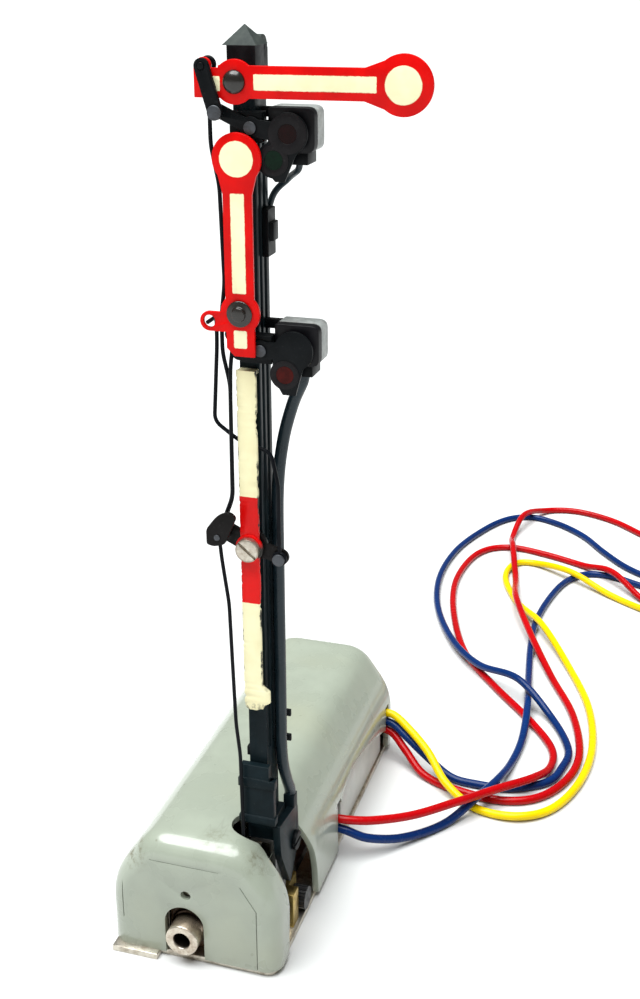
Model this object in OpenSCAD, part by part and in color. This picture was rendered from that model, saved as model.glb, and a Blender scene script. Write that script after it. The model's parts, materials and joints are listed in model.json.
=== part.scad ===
// Two-arm semaphore home signal for a model railway, with its mains-free solenoid base.
// X runs across the base, Y along it to the back, Z up; the arms face -Y.
// The origin is the centre of the base's underside.

/* [Base] */
// Width of the base cover
base_w = 22; // [21:0.5:26]
// Length of the base cover
base_l = 56; // [55:1:62]
// Height of the cover's flat top
base_h = 17; // [17:0.25:18]
// Height at which the cover's walls turn inwards
shoulder_z = 10; // [9:0.5:11]
// How far the cover's flat top is set in from its sides
shoulder_in = 4.8; // [4:0.2:5.2]
// Thickness of the pressed cover
cover_t = 0.8; // [0.6:0.1:0.9]
// Thickness of the base plate
plate_t = 0.8; // [0.6:0.1:0.9]

/* [Mast] */
// Overall height from the table to the tip of the cap
total_h = 110; // [108:0.5:114]
// Sideways place of the mast's centre line
mast_x = 6.8; // [6.6:0.1:7]
// Width of the mast's front face
mast_w = 2.2; // [2:0.1:2.4]
// Depth of the mast's section
mast_d = 3.8; // [3.4:0.1:4]
// Place of the painted board's front face along Y
board_y = -23.2; // [-23.3:0.05:-23.1]

/* [Arms] */
// Height of the upper arm's pivot
upper_z = 104.8; // [104:0.1:105]
// Height of the lower arm's pivot
lower_z = 81.7; // [81:0.1:82.2]
// Distance from the upper arm's pivot to its disc's centre
upper_reach = 16.9; // [15:0.1:18]
// Distance from the lower arm's pivot to its disc's centre
lower_reach = 15.7; // [15:0.1:16]
// Thickness of the arms' sheet
arm_t = 0.4; // [0.3:0.05:0.4]

/* [Linkage] */
// Diameter of the operating wires
wire_d = 0.44; // [0.4:0.02:0.46]
// Height of the rocker's pivot screw
rocker_z = 54.8; // [54:0.1:56]

/* [Leads] */
// Diameter of the connecting leads
lead_d = 1.2; // [1:0.05:1.2]

/* [Hidden] */

eps = 0.01;
fit = 0.05;
pin_r = 0.35;
wire_r = wire_d / 2;
bend_r = wire_r * 1.12;
eye_r = pin_r + fit + bend_r;
half_w = base_w / 2;
half_l = base_l / 2;

// Layers from front to back, each the front face of a thin part or the middle of a wire.
arm_y = board_y - 1.2;
link_y = arm_y - 0.6;
link_t = 0.5;
spec_y = board_y - 0.5;
spec_t = 0.3;
bearing_y = spec_y + spec_t + 0.08;
board_t = 0.4;
mast_y = board_y + 1.3;
rocker_y = board_y + board_t + 0.25;
rocker_t = 0.4;
cheek_y = board_y - 1.65;
upper_rod_y = board_y + 0.25;
spec_rod_y = board_y - 0.3;
drive_rod_y = board_y - 0.85;
gap_rod_y = board_y + 0.85;
spec_eye_y = spec_y + spec_t + 0.3;

// Pivots in the plane of the arms, as [x, z]. One crank vector is shared by the arm's tail,
// the rocker and both spectacles, so that every rod stays parallel to itself.
crank = [-3.2, 1.5];
lug = [-3.4, -1];
upper_pivot = [mast_x, upper_z];
lower_pivot = [mast_x, lower_z];
rocker_pivot = [mast_x, rocker_z];
upper_spec_pivot = [mast_x + 1.3, upper_z - 4.4];
lower_spec_pivot = [mast_x + 1.9, lower_z - 4];
tail_hole = upper_pivot + crank;
upper_spec_crank = upper_spec_pivot + crank;
lower_spec_crank = lower_spec_pivot + crank;
rocker_crank = rocker_pivot + crank;
lug_hole = lower_pivot + lug;
rocker_end = rocker_pivot + [-lug[0], lug[1]];

// Lens places, turned about each spectacle's pivot by half the arms' swing.
upper_lens_r = 3.9;
lower_lens_r = 3.6;
lens_r = 0.95;
function polar(centre, radius, angle) = centre + radius * [cos(angle), sin(angle)];
upper_red_at = polar(upper_spec_pivot, upper_lens_r, -7);
upper_green_at = polar(upper_spec_pivot, upper_lens_r, -52);
lower_blank_at = polar(lower_spec_pivot, lower_lens_r, 3);
lower_lens_at = polar(lower_spec_pivot, lower_lens_r, -42);

// Lanterns
lantern_w = 4.8;
lantern_h = 4.4;
lantern_d = 3.4;
lantern_y = board_y + 0.7;
upper_lantern_at = [upper_red_at[0], upper_red_at[1] + 0.2];
lower_lantern_at = [lower_blank_at[0], lower_blank_at[1] + 0.3];

// Drive inside the base
drive_x = 2.7;
lever_y = -16;
lever_z = 5;
lever_arm = 7.5;
lever_up = 4;
plunger_z = lever_z + lever_up;
plunger_r = 1.4;
rod_foot_y = lever_y - lever_arm;
rod_foot_x = 5.2;

// Mast foot and the slot that it stands in
foot_z = 18.2;
crown = 0.55;
neck_z = total_h - 1.9;
slot_front = -23.2;
slot_back = -17.2;
rod_hole = [5.4, -21.5];
rod_hole_r = 2.3;
cheek_x = mast_x + 1.7;
cheek_t = 0.9;
thumb_at = [-15.2, 2.5];
thumb_r = 0.5;

// Front socket
socket_at = [-1.1, 3.9];
socket_r = 2.1;
socket_bore_r = 1.1;
socket_end = -half_l - 1.2;

// Side opening: a low arch with a flush panel behind it and a slit at each end
arch_start = [-2.5, 6.5];
arch_pull = [4, 13];
arch_end = [24.7, 4];
panel_from = 1.5;
panel_to = 23.15;
panel_x = half_w - cover_t - 1.05;
slit_half = 0.85;
front_slit_y = -1.85;
rear_slit_y = 24.05;

// Leads: points that each lead's middle follows, in from the slits and out over the table
slit_x = half_w - 1.4;
yellow_route = [
    [slit_x, 24.05, 7.2], [12, 24, 7.1], [15, 22.5, 5.82], [18.5, 19.5, 4.42], [22, 16, 1.99],
    [27, 13, 0.67], [33, 12.5, 0.84], [37.6, 16.2, 0.64], [40.5, 24, 0.62], [41.2, 34, 0.62],
    [39.2, 46, 0.64], [34.5, 58, 0.75], [28, 70, 2.08], [22, 80, 0.75], [18, 90, 0.64],
    [18.5, 97, 0.63], [22.5, 98.5, 0.76], [30, 94, 1.91], [38, 88.5, 0.77], [45, 84, 0.69],
    [51, 81, 1.3]
];
rear_blue_route = [
    [slit_x, 24.05, 5.9], [12, 23.8, 5.6], [14.5, 22.6, 4.42], [18, 21, 2.62], [22, 19.5, 0.82],
    [26, 19, 0.64], [31, 19.5, 0.62], [35.9, 22.6, 0.62], [37.5, 27, 0.62], [37.7, 32.5, 0.65],
    [34, 40.4, 0.95], [27.6, 46, 3.86], [20, 52, 2.09], [13.5, 61, 1.25], [8, 74, 0.68],
    [5.5, 87, 0.63], [6, 100, 0.62], [9, 111, 0.62], [13, 119, 0.62], [18, 122, 0.62],
    [24, 120, 0.62], [30, 115, 0.62], [35, 108, 0.62], [40, 102, 0.62], [45, 98.5, 0.69],
    [51, 97, 1.3]
];
rear_red_route = [
    [slit_x, 24.05, 4.6], [12, 23.6, 4.1], [14.5, 21.8, 2.62], [18, 19, 0.8], [23, 16.8, 0.65],
    [30, 16, 0.62], [35.3, 18.4, 0.62], [38.7, 24.4, 0.62], [39.5, 32, 0.62], [37, 43, 0.63],
    [32, 54, 0.77], [26.5, 66, 2.1], [22, 78, 2.82], [20, 90, 0.68], [17.5, 101, 2.79],
    [16, 110, 0.62], [17, 118, 2.64], [20.5, 126, 0.86], [27, 128, 0.64], [35, 125, 0.62],
    [42, 119, 0.62], [48, 114, 0.69], [53, 111, 1.3]
];
front_red_route = [
    [slit_x, -1.85, 5.7], [12, -1.8, 5.6], [15.5, 0, 5.02], [20, 4.5, 3.82], [25, 10, 3.36],
    [29.8, 15.6, 2.86], [34, 20.8, 2.15], [35.8, 26.4, 0.77], [35.2, 32, 0.63], [30.8, 39, 0.62],
    [23.4, 48.2, 0.62], [16.5, 58, 0.62], [11.5, 72, 0.62], [9, 85, 0.62], [9.5, 96, 0.62],
    [12, 102.5, 0.62], [17, 105, 0.62], [24, 103.5, 0.63], [32, 100, 0.8], [38, 95, 2.44],
    [45, 87.5, 0.65], [51, 84.5, 1.3]
];
front_blue_route = [
    [slit_x, -1.85, 4.3], [12, -2, 4], [15, -1.2, 2.82], [19, 2.5, 1.22], [23.5, 8, 0.65],
    [27, 13.5, 2.09], [29, 19, 1.93], [30, 26, 0.71], [30.5, 33, 0.83], [30, 41, 1.98],
    [28.5, 52, 0.76], [27, 64, 0.63], [26.5, 74, 0.62], [27.5, 84, 0.62], [29.5, 92, 0.62],
    [33, 96.5, 0.62], [38, 96.8, 0.62], [44, 94, 0.69], [51, 91, 1.3]
];
plug_r = 1.3;
plug_l = 9;
tip_r = 0.8;
tip_l = 5;

// Lead up the mast to the lanterns
lamp_lead_r = 0.7;
lamp_route = [
    [12.3, -20.3, 74.7], [12.1, -20.1, 73.6], [10.7, -19.3, 70.6], [9.4, -18.9, 66],
    [8.7, -18.84, 60], [8.64, -18.84, 50], [8.64, -18.84, 42], [8.64, -18.84, 35],
    [8.64, -18.84, 31], [8.64, -18.84, 27], [8.65, -18.3, 24], [8.67, -17.2, 21.4],
    [8.7, -16.2, 19.5], [8.7, -16, 18.7]
];
upper_lead_route = [
    [11.9, -19.7, 96.65], [11.6, -19.3, 95.8], [10, -17.8, 94.6], [8, -17.1, 92.5], [7, -17.1, 88],
    [6.8, -17.4, 84], [6.7, -17.66, 78], [6.7, -17.68, 66], [6.7, -17.68, 54], [6.7, -17.68, 42],
    [6.7, -17.68, 30], [6.7, -17.68, 22], [6.7, -17.68, 18.26]
];

// A bar along Y between two places, and one along X.
module y_bar(at, y_from, y_to, r) {
    translate([at[0], y_from, at[1]]) rotate([-90, 0, 0]) cylinder(h = y_to - y_from, r = r, $fn = 32);
}

module x_bar(at, x_from, x_to, r) {
    translate([x_from, at[0], at[1]]) rotate([0, 90, 0]) cylinder(h = x_to - x_from, r = r, $fn = 32);
}

// A sheet with its outline drawn in X and Z, and one drawn in Y and Z.
module front_sheet(y_front, thick) {
    translate([0, y_front + thick, 0]) rotate([90, 0, 0]) linear_extrude(thick) children();
}

module side_sheet(x_left, thick) {
    translate([x_left, 0, 0]) rotate([90, 0, 90]) linear_extrude(thick) children();
}

// A block between two opposite corners.
module block(low, high) {
    translate(low) cube(high - low);
}

// An outline whose corners are each rounded by a curve that starts the given cut away.
function toward(a, b, cut) = a + (b - a) * cut / norm(b - a);
function curve(a, b, c, t) = (1 - t) * (1 - t) * a + 2 * t * (1 - t) * b + t * t * c;
function softened(pts, cuts, steps = 5) = [
    for (i = [0:len(pts) - 1])
        let (
            before = pts[(i + len(pts) - 1) % len(pts)],
            after = pts[(i + 1) % len(pts)],
            from = toward(pts[i], before, cuts[i]),
            to = toward(pts[i], after, cuts[i])
        )
        for (k = [0:cuts[i] > 0 ? steps : 0]) curve(from, pts[i], to, k / steps)
];

// A link outline between two round ends.
module strap(a, b, r) {
    along = b - a;
    angle = atan2(along[1], along[0]);
    translate(a) circle(r = r, $fn = 32);
    translate(b) circle(r = r, $fn = 32);
    translate(a) rotate(angle) translate([0, -r]) square([norm(along), 2 * r]);
}

// A round tube swept along a route. The rings stand square to the route.
function unit(v) = v / norm(v);
function route_point(pts, i) = pts[max(0, min(len(pts) - 1, i))];
function spline(pts, i, t) =
    let (
        a = route_point(pts, i - 1),
        b = route_point(pts, i),
        c = route_point(pts, i + 1),
        d = route_point(pts, i + 2)
    )
    0.5 * (2 * b + (c - a) * t + (2 * a - 5 * b + 4 * c - d) * t * t
        + (3 * b - a - 3 * c + d) * t * t * t);
function smooth_route(pts, steps) = concat(
    [for (i = [0:len(pts) - 2]) for (k = [0:steps - 1]) spline(pts, i, k / steps)],
    [pts[len(pts) - 1]]
);
function heading(path, i) = unit(path[min(len(path) - 1, i + 1)] - path[max(0, i - 1)]);
function across(v) = unit(cross(v, abs(v[2]) > 0.8 ? [0, 1, 0] : [0, 0, 1]));

module tube(pts, r, steps, sides = 8) {
    path = smooth_route(pts, steps);
    last = len(path) - 1;
    rings = [
        for (i = [0:last])
            let (
                ahead = heading(path, i),
                side = across(ahead),
                rise = cross(side, ahead)
            )
            for (k = [0:sides - 1])
                path[i] + r * (cos(360 * k / sides) * side + sin(360 * k / sides) * rise)
    ];
    walls = [
        for (i = [0:last - 1])
            for (k = [0:sides - 1])
                let (next = (k + 1) % sides)
                [i * sides + k, i * sides + next, (i + 1) * sides + next, (i + 1) * sides + k]
    ];
    start_cap = [for (k = [0:sides - 1]) sides - 1 - k];
    end_cap = [for (k = [0:sides - 1]) last * sides + k];
    polyhedron(concat(rings), concat(walls, [start_cap, end_cap]));
}

// A stiff wire made of straight runs with a slightly swollen ball at each bend.
module wire(pts) {
    for (i = [0:len(pts) - 2]) {
        run = pts[i + 1] - pts[i];
        turn = atan2(run[1], run[0]);
        tilt = acos(run[2] / norm(run));
        translate(pts[i]) rotate([0, tilt, turn]) cylinder(h = norm(run), r = wire_r, $fn = 16);
        if (i > 0) translate(pts[i]) sphere(r = bend_r, $fn = 16);
    }
}

// An eye bent at the end of a wire, round a pin that runs along Y.
module eye(at, y_mid) {
    translate([at[0], y_mid, at[1]]) rotate([90, 0, 0]) rotate_extrude($fn = 32)
        translate([eye_r, 0]) circle(r = bend_r, $fn = 16);
}

// The base's outer form, shrunk by the wall where it is used for the inside.
module base_form(shrink, z_low) {
    w = half_w - shrink;
    l = half_l - shrink;
    h = base_h - shrink;
    turn_z = shoulder_z - shrink * 0.4;
    top_w = half_w - shoulder_in - shrink * 0.6;
    edge = 3 - shrink;
    corner = 2.2 - shrink;
    intersection() {
        translate([0, base_l, 0]) rotate([90, 0, 0]) linear_extrude(2 * base_l)
            polygon(softened(
                [[-w, z_low], [-w, turn_z], [-top_w, h], [top_w, h], [w, turn_z], [w, z_low]],
                [0, 3, 2.5, 2.5, 3, 0]
            ));
        side_sheet(-base_w, 2 * base_w)
            polygon(softened([[-l, z_low], [-l, h], [l, h], [l, z_low]], [0, edge, edge, 0]));
        translate([0, 0, z_low - 1]) linear_extrude(base_h + 2)
            polygon(softened([[-w, -l], [w, -l], [w, l], [-w, l]], [corner, corner, corner, corner]));
    }
}

module base_plate() {
    seat_w = half_w - 0.55;
    seat_l = half_l - 0.4;
    tab_from = -half_w + 0.4;
    color("silver") {
        linear_extrude(plate_t)
            polygon(softened(
                [[-seat_w, -seat_l], [seat_w, -seat_l], [seat_w, seat_l], [-seat_w, seat_l]],
                [1.6, 1.6, 1.6, 1.6]
            ));
        block([tab_from, -half_l - 0.9, 0], [tab_from + 6, -half_l + 2, plate_t]);
    }
}

module base_cover() {
    arch_in = 3;
    front_arch = [-1.15, 5.4];
    front_arch_r = 2.55;
    front_hole = [-0.8, 9.8];
    front_hole_r = 0.65;
    color("#a9b3a4") difference() {
        base_form(0, plate_t);
        base_form(cover_t, plate_t - 1);
        translate([rod_hole[0], rod_hole[1], base_h - 3])
            cylinder(h = 6, r = rod_hole_r, $fn = 32);
        block([5, slot_front, base_h - 4], [half_w + 1, slot_back, base_h + 1]);
        side_sheet(mast_x + 1.2, base_w)
            polygon([
                [slot_front, base_h + 1], [slot_front - 0.2, 10.5], [slot_front - 0.8, 0],
                [-11.6, 0], [-12.2, 5], [-13.9, 10.7], [-14.6, 14.2], [slot_back, base_h + 1]
            ]);
        y_bar(front_hole, -half_l - 1, -half_l + 2, front_hole_r);
        y_bar(front_arch, -half_l - 1, -half_l + 2, front_arch_r);
        block(
            [front_arch[0] - front_arch_r, -half_l - 1, 0],
            [front_arch[0] + front_arch_r, -half_l + 2, front_arch[1]]
        );
        for (y = [front_slit_y, rear_slit_y])
            block([half_w - arch_in, y - slit_half, 2.2], [half_w + 1, y + slit_half, 8.4]);
        side_sheet(half_w - arch_in, arch_in + 1)
            polygon(concat(
                [[arch_end[0], 0], [arch_start[0], 0]],
                [for (k = [0:12]) curve(arch_start, arch_pull, arch_end, k / 12)]
            ));
    }
}

module side_panel() {
    panel_t = 0.5;
    panel_top = 9.65;
    panel_out = 0.5;
    color("#c4c9c0") intersection() {
        side_sheet(panel_x, panel_t + panel_out) polygon(softened(
            [[panel_from, plate_t], [panel_from, 9.2], [7, panel_top], [panel_to, 7.5], [panel_to, plate_t]],
            [0, 1.5, 2, 1.5, 0]
        ));
        front_sheet(panel_from - 1, panel_to - panel_from + 2) polygon([
            [panel_x + panel_out, 0], [panel_x + panel_out + panel_t, 0],
            [panel_x + panel_out + panel_t, 6.4], [panel_x + panel_t, panel_top + 1],
            [panel_x, panel_top + 1], [panel_x + panel_out, 6.2]
        ]);
    }
}

module plug_socket() {
    bore_l = 6;
    collar_y = -half_l + 1.6;
    color("silver") difference() {
        union() {
            y_bar(socket_at, socket_end, -half_l + 6, socket_r);
            y_bar(socket_at, collar_y, collar_y + 0.5, socket_r + 0.35);
        }
        y_bar(socket_at, socket_end - 1, socket_end + bore_l, socket_bore_r);
    }
}

module socket_insulator() {
    y_from = -half_l + 2.1;
    color("#3a2a20") difference() {
        block([socket_at[0] - 2.7, y_from, plate_t], [socket_at[0] + 2.7, y_from + 1.9, 6.8]);
        y_bar(socket_at, y_from - 1, y_from + 4, socket_r);
    }
}

module front_bracket() {
    y_from = -half_l + 2.5;
    color("silver") difference() {
        block([-6, y_from, plate_t], [1.9, y_from + 0.8, 12]);
        block([socket_at[0] - 3.1, y_from - 1, 0], [socket_at[0] + 3.1, y_from + 2, 7.1]);
        y_bar([-0.8, 9.8], y_from - 1, y_from + 2, 0.5);
    }
}

module cover_screw() {
    head_y = -half_l + cover_t + 0.1;
    color("silver") difference() {
        union() {
            y_bar([-0.8, 9.8], head_y, head_y + 0.7, 1.1);
            y_bar([-0.8, 9.8], head_y + 0.6, -half_l + 4, 0.5);
        }
        block([-2.2, head_y - 0.2, 9.65], [0.6, head_y + 0.25, 9.95]);
    }
}

coil_places = [-8, 5];
coil_l = 11;

module coil_yoke() {
    wall = 0.8;
    color("gray") difference() {
        union() {
            block([drive_x - 4.2, coil_places[0] - wall, plate_t], [drive_x + 4.2, 16.8, 1.8]);
            for (y = [coil_places[0] - wall, coil_places[0] + coil_l + 0.4, coil_places[1] + coil_l])
                block([drive_x - 3.4, y, plate_t], [drive_x + 3.4, y + wall, 12.6]);
        }
        y_bar([drive_x, plunger_z], -12, 20, plunger_r + fit);
    }
}

module coil_bobbins() {
    flange_t = 0.5;
    color("#e8e2cc") for (y = coil_places) difference() {
        union() {
            y_bar([drive_x, plunger_z], y, y + coil_l, 2.1);
            for (e = [y, y + coil_l - flange_t])
                y_bar([drive_x, plunger_z], e, e + flange_t, 4.6);
        }
        y_bar([drive_x, plunger_z], y - 1, y + coil_l + 1, plunger_r + 0.2);
    }
}

module coil_windings() {
    color("#b5642c") for (y = coil_places) difference() {
        y_bar([drive_x, plunger_z], y + 0.5, y + coil_l - 0.5, 4.2);
        y_bar([drive_x, plunger_z], y, y + coil_l, 2.1);
    }
}

module plunger() {
    slot_w = 0.9;
    color("silver") {
        difference() {
            y_bar([drive_x, plunger_z], lever_y - 1.4, 15, plunger_r);
            block(
                [drive_x - slot_w / 2, lever_y - 2, plunger_z - 2],
                [drive_x + slot_w / 2, lever_y + 2.6, plunger_z + 2]
            );
        }
        x_bar([lever_y, plunger_z], drive_x - 1, drive_x + 1, 0.3);
    }
}

// The lever's front arm ends in a slot for the drive rod, its upright arm in one for the plunger.
module drive_lever() {
    lever_t = 0.6;
    slot_half = wire_r + 0.12;
    color("gray") side_sheet(drive_x - lever_t / 2, lever_t) difference() {
        union() {
            strap([lever_y, lever_z], [lever_y - lever_arm - 0.6, lever_z], 1);
            strap([lever_y, lever_z], [lever_y, plunger_z + 0.6], 1);
        }
        translate([lever_y, lever_z]) circle(r = 0.4 + fit, $fn = 32);
        translate([lever_y - lever_arm - 0.7, lever_z - slot_half]) square([1.4, 2 * slot_half]);
        translate([lever_y - 0.42, plunger_z - 0.8]) square([0.84, 3]);
    }
}

module lever_bracket() {
    ear_t = 0.6;
    reach = 1.4;
    color("silver") difference() {
        union() {
            for (x = [drive_x - 1.1 - ear_t, drive_x + 1.1])
                block([x, lever_y - reach, plate_t], [x + ear_t, lever_y + reach, lever_z + 1.2]);
            block(
                [drive_x - 1.1, lever_y - reach, plate_t],
                [drive_x + 1.1, lever_y + reach, plate_t + 0.6]
            );
        }
        x_bar([lever_y, lever_z], drive_x - 3, drive_x + 3, 0.4);
    }
}

module lever_pin() {
    color("silver") x_bar([lever_y, lever_z], drive_x - 1.9, drive_x + 1.9, 0.4);
}

tag_places = [-7, -4.5, -2, 0.5, 3];

module terminal_board() {
    color("#5a3a22") difference() {
        block([-8.6, 19.4, plate_t], [5, 20.6, 9]);
        for (x = tag_places) block([x - 0.4, 19, 5.2], [x + 0.4, 21, 5.6]);
    }
}

module solder_tags() {
    color("goldenrod") for (x = tag_places) difference() {
        block([x - 0.4, 17.8, 5.2], [x + 0.4, 23, 5.6]);
        translate([x, 22.3, 4]) cylinder(h = 3, r = 0.25, $fn = 16);
    }
}

module contact_springs() {
    color("goldenrod") for (x = [drive_x - 1.8, drive_x + 1.5])
        block([x, 18, 10.2], [x + 0.3, 24.5, 12.4]);
    color("#5a3a22") block([drive_x - 2.6, 20.6, 9], [drive_x + 2.6, 22.4, 10.2]);
}

module mast_post() {
    color("silver") {
        block([cheek_x - 0.8, -21.1, plate_t], [cheek_x, -17.6, 15]);
        block([4.6, -21.1, plate_t], [cheek_x - 0.8, -17.6, plate_t + 0.7]);
        block([5.2, -21.1, 14.3], [cheek_x - 0.8, -17.6, 15]);
    }
}

module mast_foot() {
    screw_at = [-16.6, 12.2];
    color("#2b343c") difference() {
        union() {
            block([mast_x - 1.8, -21.2, 15], [cheek_x, -17.6, foot_z]);
            block([mast_x - 1.1, -22, foot_z - 1], [cheek_x, -21, foot_z]);
            side_sheet(cheek_x, cheek_t)
                polygon(softened(
                    [[-22.2, foot_z - 0.4], [-15.2, 16.8], [-14.9, 11.4], [-18.4, 7], [-21.8, 13.4]],
                    [0.5, 0.8, 0.8, 0.6, 0.8]
                ));
            block([cheek_x - 0.45, -16.7, 15.6], [cheek_x + cheek_t, -15.4, 18.6]);
        }
        x_bar(screw_at, cheek_x - 2, cheek_x + 2, 0.6);
    }
}

module foot_screw() {
    screw_at = [-16.6, 12.2];
    head_x = cheek_x + cheek_t;
    color("#333a40") difference() {
        union() {
            x_bar(screw_at, head_x, head_x + 0.5, 1.25);
            x_bar(screw_at, cheek_x - 1, head_x + 0.1, 0.6);
        }
        block([head_x + 0.25, -17.9, 12.05], [head_x + 0.6, -15.3, 12.35]);
    }
}

module terminal_block() {
    color("goldenrod") difference() {
        union() {
            block([cheek_x - 1.1, -17.5, plate_t], [cheek_x + 0.1, -13.8, 5.2]);
            block([cheek_x + 0.05, -19.2, plate_t], [10, -17.2, 5.6]);
        }
        x_bar(thumb_at, cheek_x - 2, cheek_x + 1, thumb_r);
    }
}

// A knurled thumb screw: its rim is a ring of fine teeth.
module terminal_screw() {
    knob_r = 1.5;
    teeth = 20;
    color("#1c1c1c") translate([8.7, thumb_at[0], thumb_at[1]]) rotate([0, 90, 0]) {
        difference() {
            cylinder(h = 1.9, r = knob_r, $fn = 40);
            for (k = [0:teeth - 1]) rotate(k * 360 / teeth)
                translate([knob_r, 0, -1]) rotate(45) translate([-0.08, -0.08]) cube([0.16, 0.16, 4]);
        }
        translate([0, 0, -1.3]) cylinder(h = 1.4, r = thumb_r, $fn = 32);
    }
}

// The mast: a bar with two grooves pressed along each side.
module mast() {
    top_z = upper_z + crown;
    groove = 0.55;
    groove_w = 0.8;
    color("#1f272e") difference() {
        block([mast_x - mast_w / 2, mast_y, foot_z], [mast_x + mast_w / 2, mast_y + mast_d, top_z]);
        for (y = [mast_y + 0.8, mast_y + mast_d - 0.8 - groove_w]) {
            block([mast_x + mast_w / 2 - groove, y, 28], [mast_x + mast_w, y + groove_w, top_z - 4]);
            block([mast_x - mast_w, y, 28], [mast_x - mast_w / 2 + groove, y + groove_w, top_z - 4]);
        }
        for (at = [upper_pivot, lower_pivot]) y_bar(at, mast_y - 1, mast_y + 2, 0.5);
        y_bar(rocker_pivot, mast_y - 1, mast_y + 2, 0.6);
    }
}

module mast_head() {
    head_w = 3;
    head_d = 2.6;
    eave = 3.6;
    color("#39424a") {
        block(
            [mast_x - head_w / 2, mast_y - 0.4, upper_z + crown],
            [mast_x + head_w / 2, mast_y - 0.4 + head_d, neck_z]
        );
        translate([mast_x, mast_y - 0.4 + head_d / 2, neck_z]) rotate(45)
            cylinder(h = total_h - neck_z, r1 = eave / sqrt(2), r2 = 0.06, $fn = 4);
    }
}

module hoist_bracket() {
    y_from = mast_y + 2.2;
    top_r = 1.3;
    axle = [y_from + top_r + 0.5, total_h - 2.4];
    color("#20262b") difference() {
        side_sheet(mast_x - 0.7, 1.5) union() {
            translate(axle) circle(r = top_r, $fn = 32);
            translate([y_from, upper_z + crown]) square([2 * top_r, neck_z - upper_z - crown]);
            translate([y_from + 0.6, upper_z + crown]) square([2 * top_r, axle[1] - upper_z - crown]);
        }
        x_bar(axle, mast_x - 1, mast_x + 1, 0.3);
    }
}

module control_box() {
    half = 2.3;
    low = foot_z + 0.1;
    box_y = mast_y - 1.1;
    color("#2e373e") {
        block([mast_x - half + 0.2, box_y + 0.2, low + 0.9], [mast_x + half - 0.2, mast_y, low + 6.2]);
        block([mast_x - half, box_y, low], [mast_x + half, mast_y, low + 1]);
        block([mast_x - half, box_y, low + 5], [mast_x + half, mast_y, low + 6.2]);
        block([mast_x - half + 0.3, box_y + 0.15, low + 6.2], [mast_x + half - 0.8, mast_y, low + 8]);
    }
}

module mast_board() {
    z_low = 34.2;
    z_high = 75.2;
    fold = 0.45;
    curl_w = 0.9;
    left = mast_x - mast_w / 2;
    right = mast_x + mast_w / 2;
    color("ivory") difference() {
        union() {
            block([left, board_y, z_low], [right, board_y + board_t, z_high]);
            block([left, board_y, z_high - fold], [right, mast_y, z_high]);
            block([left, board_y, z_low], [right, mast_y, z_low + fold]);
            block([right - eps, board_y, z_low + 0.6], [right + curl_w, board_y + board_t, z_low + 3.2]);
            y_bar(rocker_pivot, board_y - 0.25, board_y + board_t, 1.6);
        }
        y_bar(rocker_pivot, board_y - 1, board_y + 1, 0.6);
    }
}

module lamp_lead() {
    color("#26323f") {
        tube(lamp_route, lamp_lead_r, 2);
        tube(upper_lead_route, 0.35, 2);
    }
}

module mast_clips() {
    side_x = mast_x + mast_w / 2;
    back_y = mast_y + mast_d;
    color("#15191c") {
        block([side_x, mast_y + 1.7, 86.8], [side_x + 0.7, back_y + 0.2, 91.8]);
        block([side_x, mast_y + 2.2, 88.4], [side_x + 1.1, back_y, 90.4]);
        block([mast_x - mast_w / 2 - 0.5, mast_y + 0.4, 26.8], [mast_x - mast_w / 2, mast_y + 1.6, 28]);
        for (z = [27.4, 30.8])
            block([side_x - 0.6, back_y, z], [side_x + 1.7, back_y + 0.4, z + 0.9]);
    }
}

// The rocker lies between board and mast; its left end is a fork round the rods' common pin.
module rocker() {
    cheek = softened(
        [
            rocker_crank + [-1.25, -0.9], rocker_crank + [-1.25, 0.9], rocker_crank + [0.1, 2.7],
            rocker_crank + [1.5, 3.2], rocker_crank + [2.3, 2.6], rocker_crank + [0.9, -0.7],
            rocker_crank + [-0.4, -1.1]
        ],
        [0.3, 0.4, 0.8, 0.45, 0.45, 0.4, 0.4]
    );
    web_x = rocker_crank[0] - 1.25;
    color("#241f1b") difference() {
        union() {
            front_sheet(rocker_y, rocker_t) {
                strap(rocker_pivot, rocker_crank, 1.1);
                strap(rocker_pivot, rocker_end, 0.9);
                translate(rocker_pivot) circle(r = 1.9, $fn = 40);
                polygon([
                    rocker_crank + [-1.25, -0.3], rocker_crank + [-1.25, 0.7],
                    rocker_crank + [0, 1.05], rocker_crank + [0, -0.6]
                ]);
            }
            front_sheet(cheek_y, rocker_t) polygon(cheek);
            block(
                [web_x, cheek_y, rocker_crank[1] - 0.3],
                [web_x + 0.3, rocker_y + rocker_t, rocker_crank[1] + 0.7]
            );
        }
        y_bar(rocker_pivot, rocker_y - 1, rocker_y + 1, 0.6 + fit);
        y_bar(rocker_crank, cheek_y - 1, rocker_y + 1, pin_r);
        y_bar(rocker_end, rocker_y - 1, rocker_y + 1, pin_r);
    }
}

module rocker_screw() {
    head_y = board_y - 1;
    color("#8d8a80") difference() {
        union() {
            y_bar(rocker_pivot, head_y, board_y - 0.25, 1.35);
            y_bar(rocker_pivot, board_y - 0.3, mast_y + 1.9, 0.6);
        }
        translate([rocker_pivot[0], head_y - 0.1, rocker_pivot[1]]) rotate([0, 40, 0])
            block([-2, 0, -0.16], [2, 0.4, 0.16]);
    }
}

module rocker_pins() {
    color("#6b5a44") {
        y_bar(rocker_crank, cheek_y - 0.1, rocker_y + rocker_t, pin_r);
        y_bar(rocker_end, upper_rod_y - 0.4, rocker_y + rocker_t, pin_r);
        y_bar(rocker_end, upper_rod_y - 0.6, upper_rod_y - 0.35, 0.7);
    }
}

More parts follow.
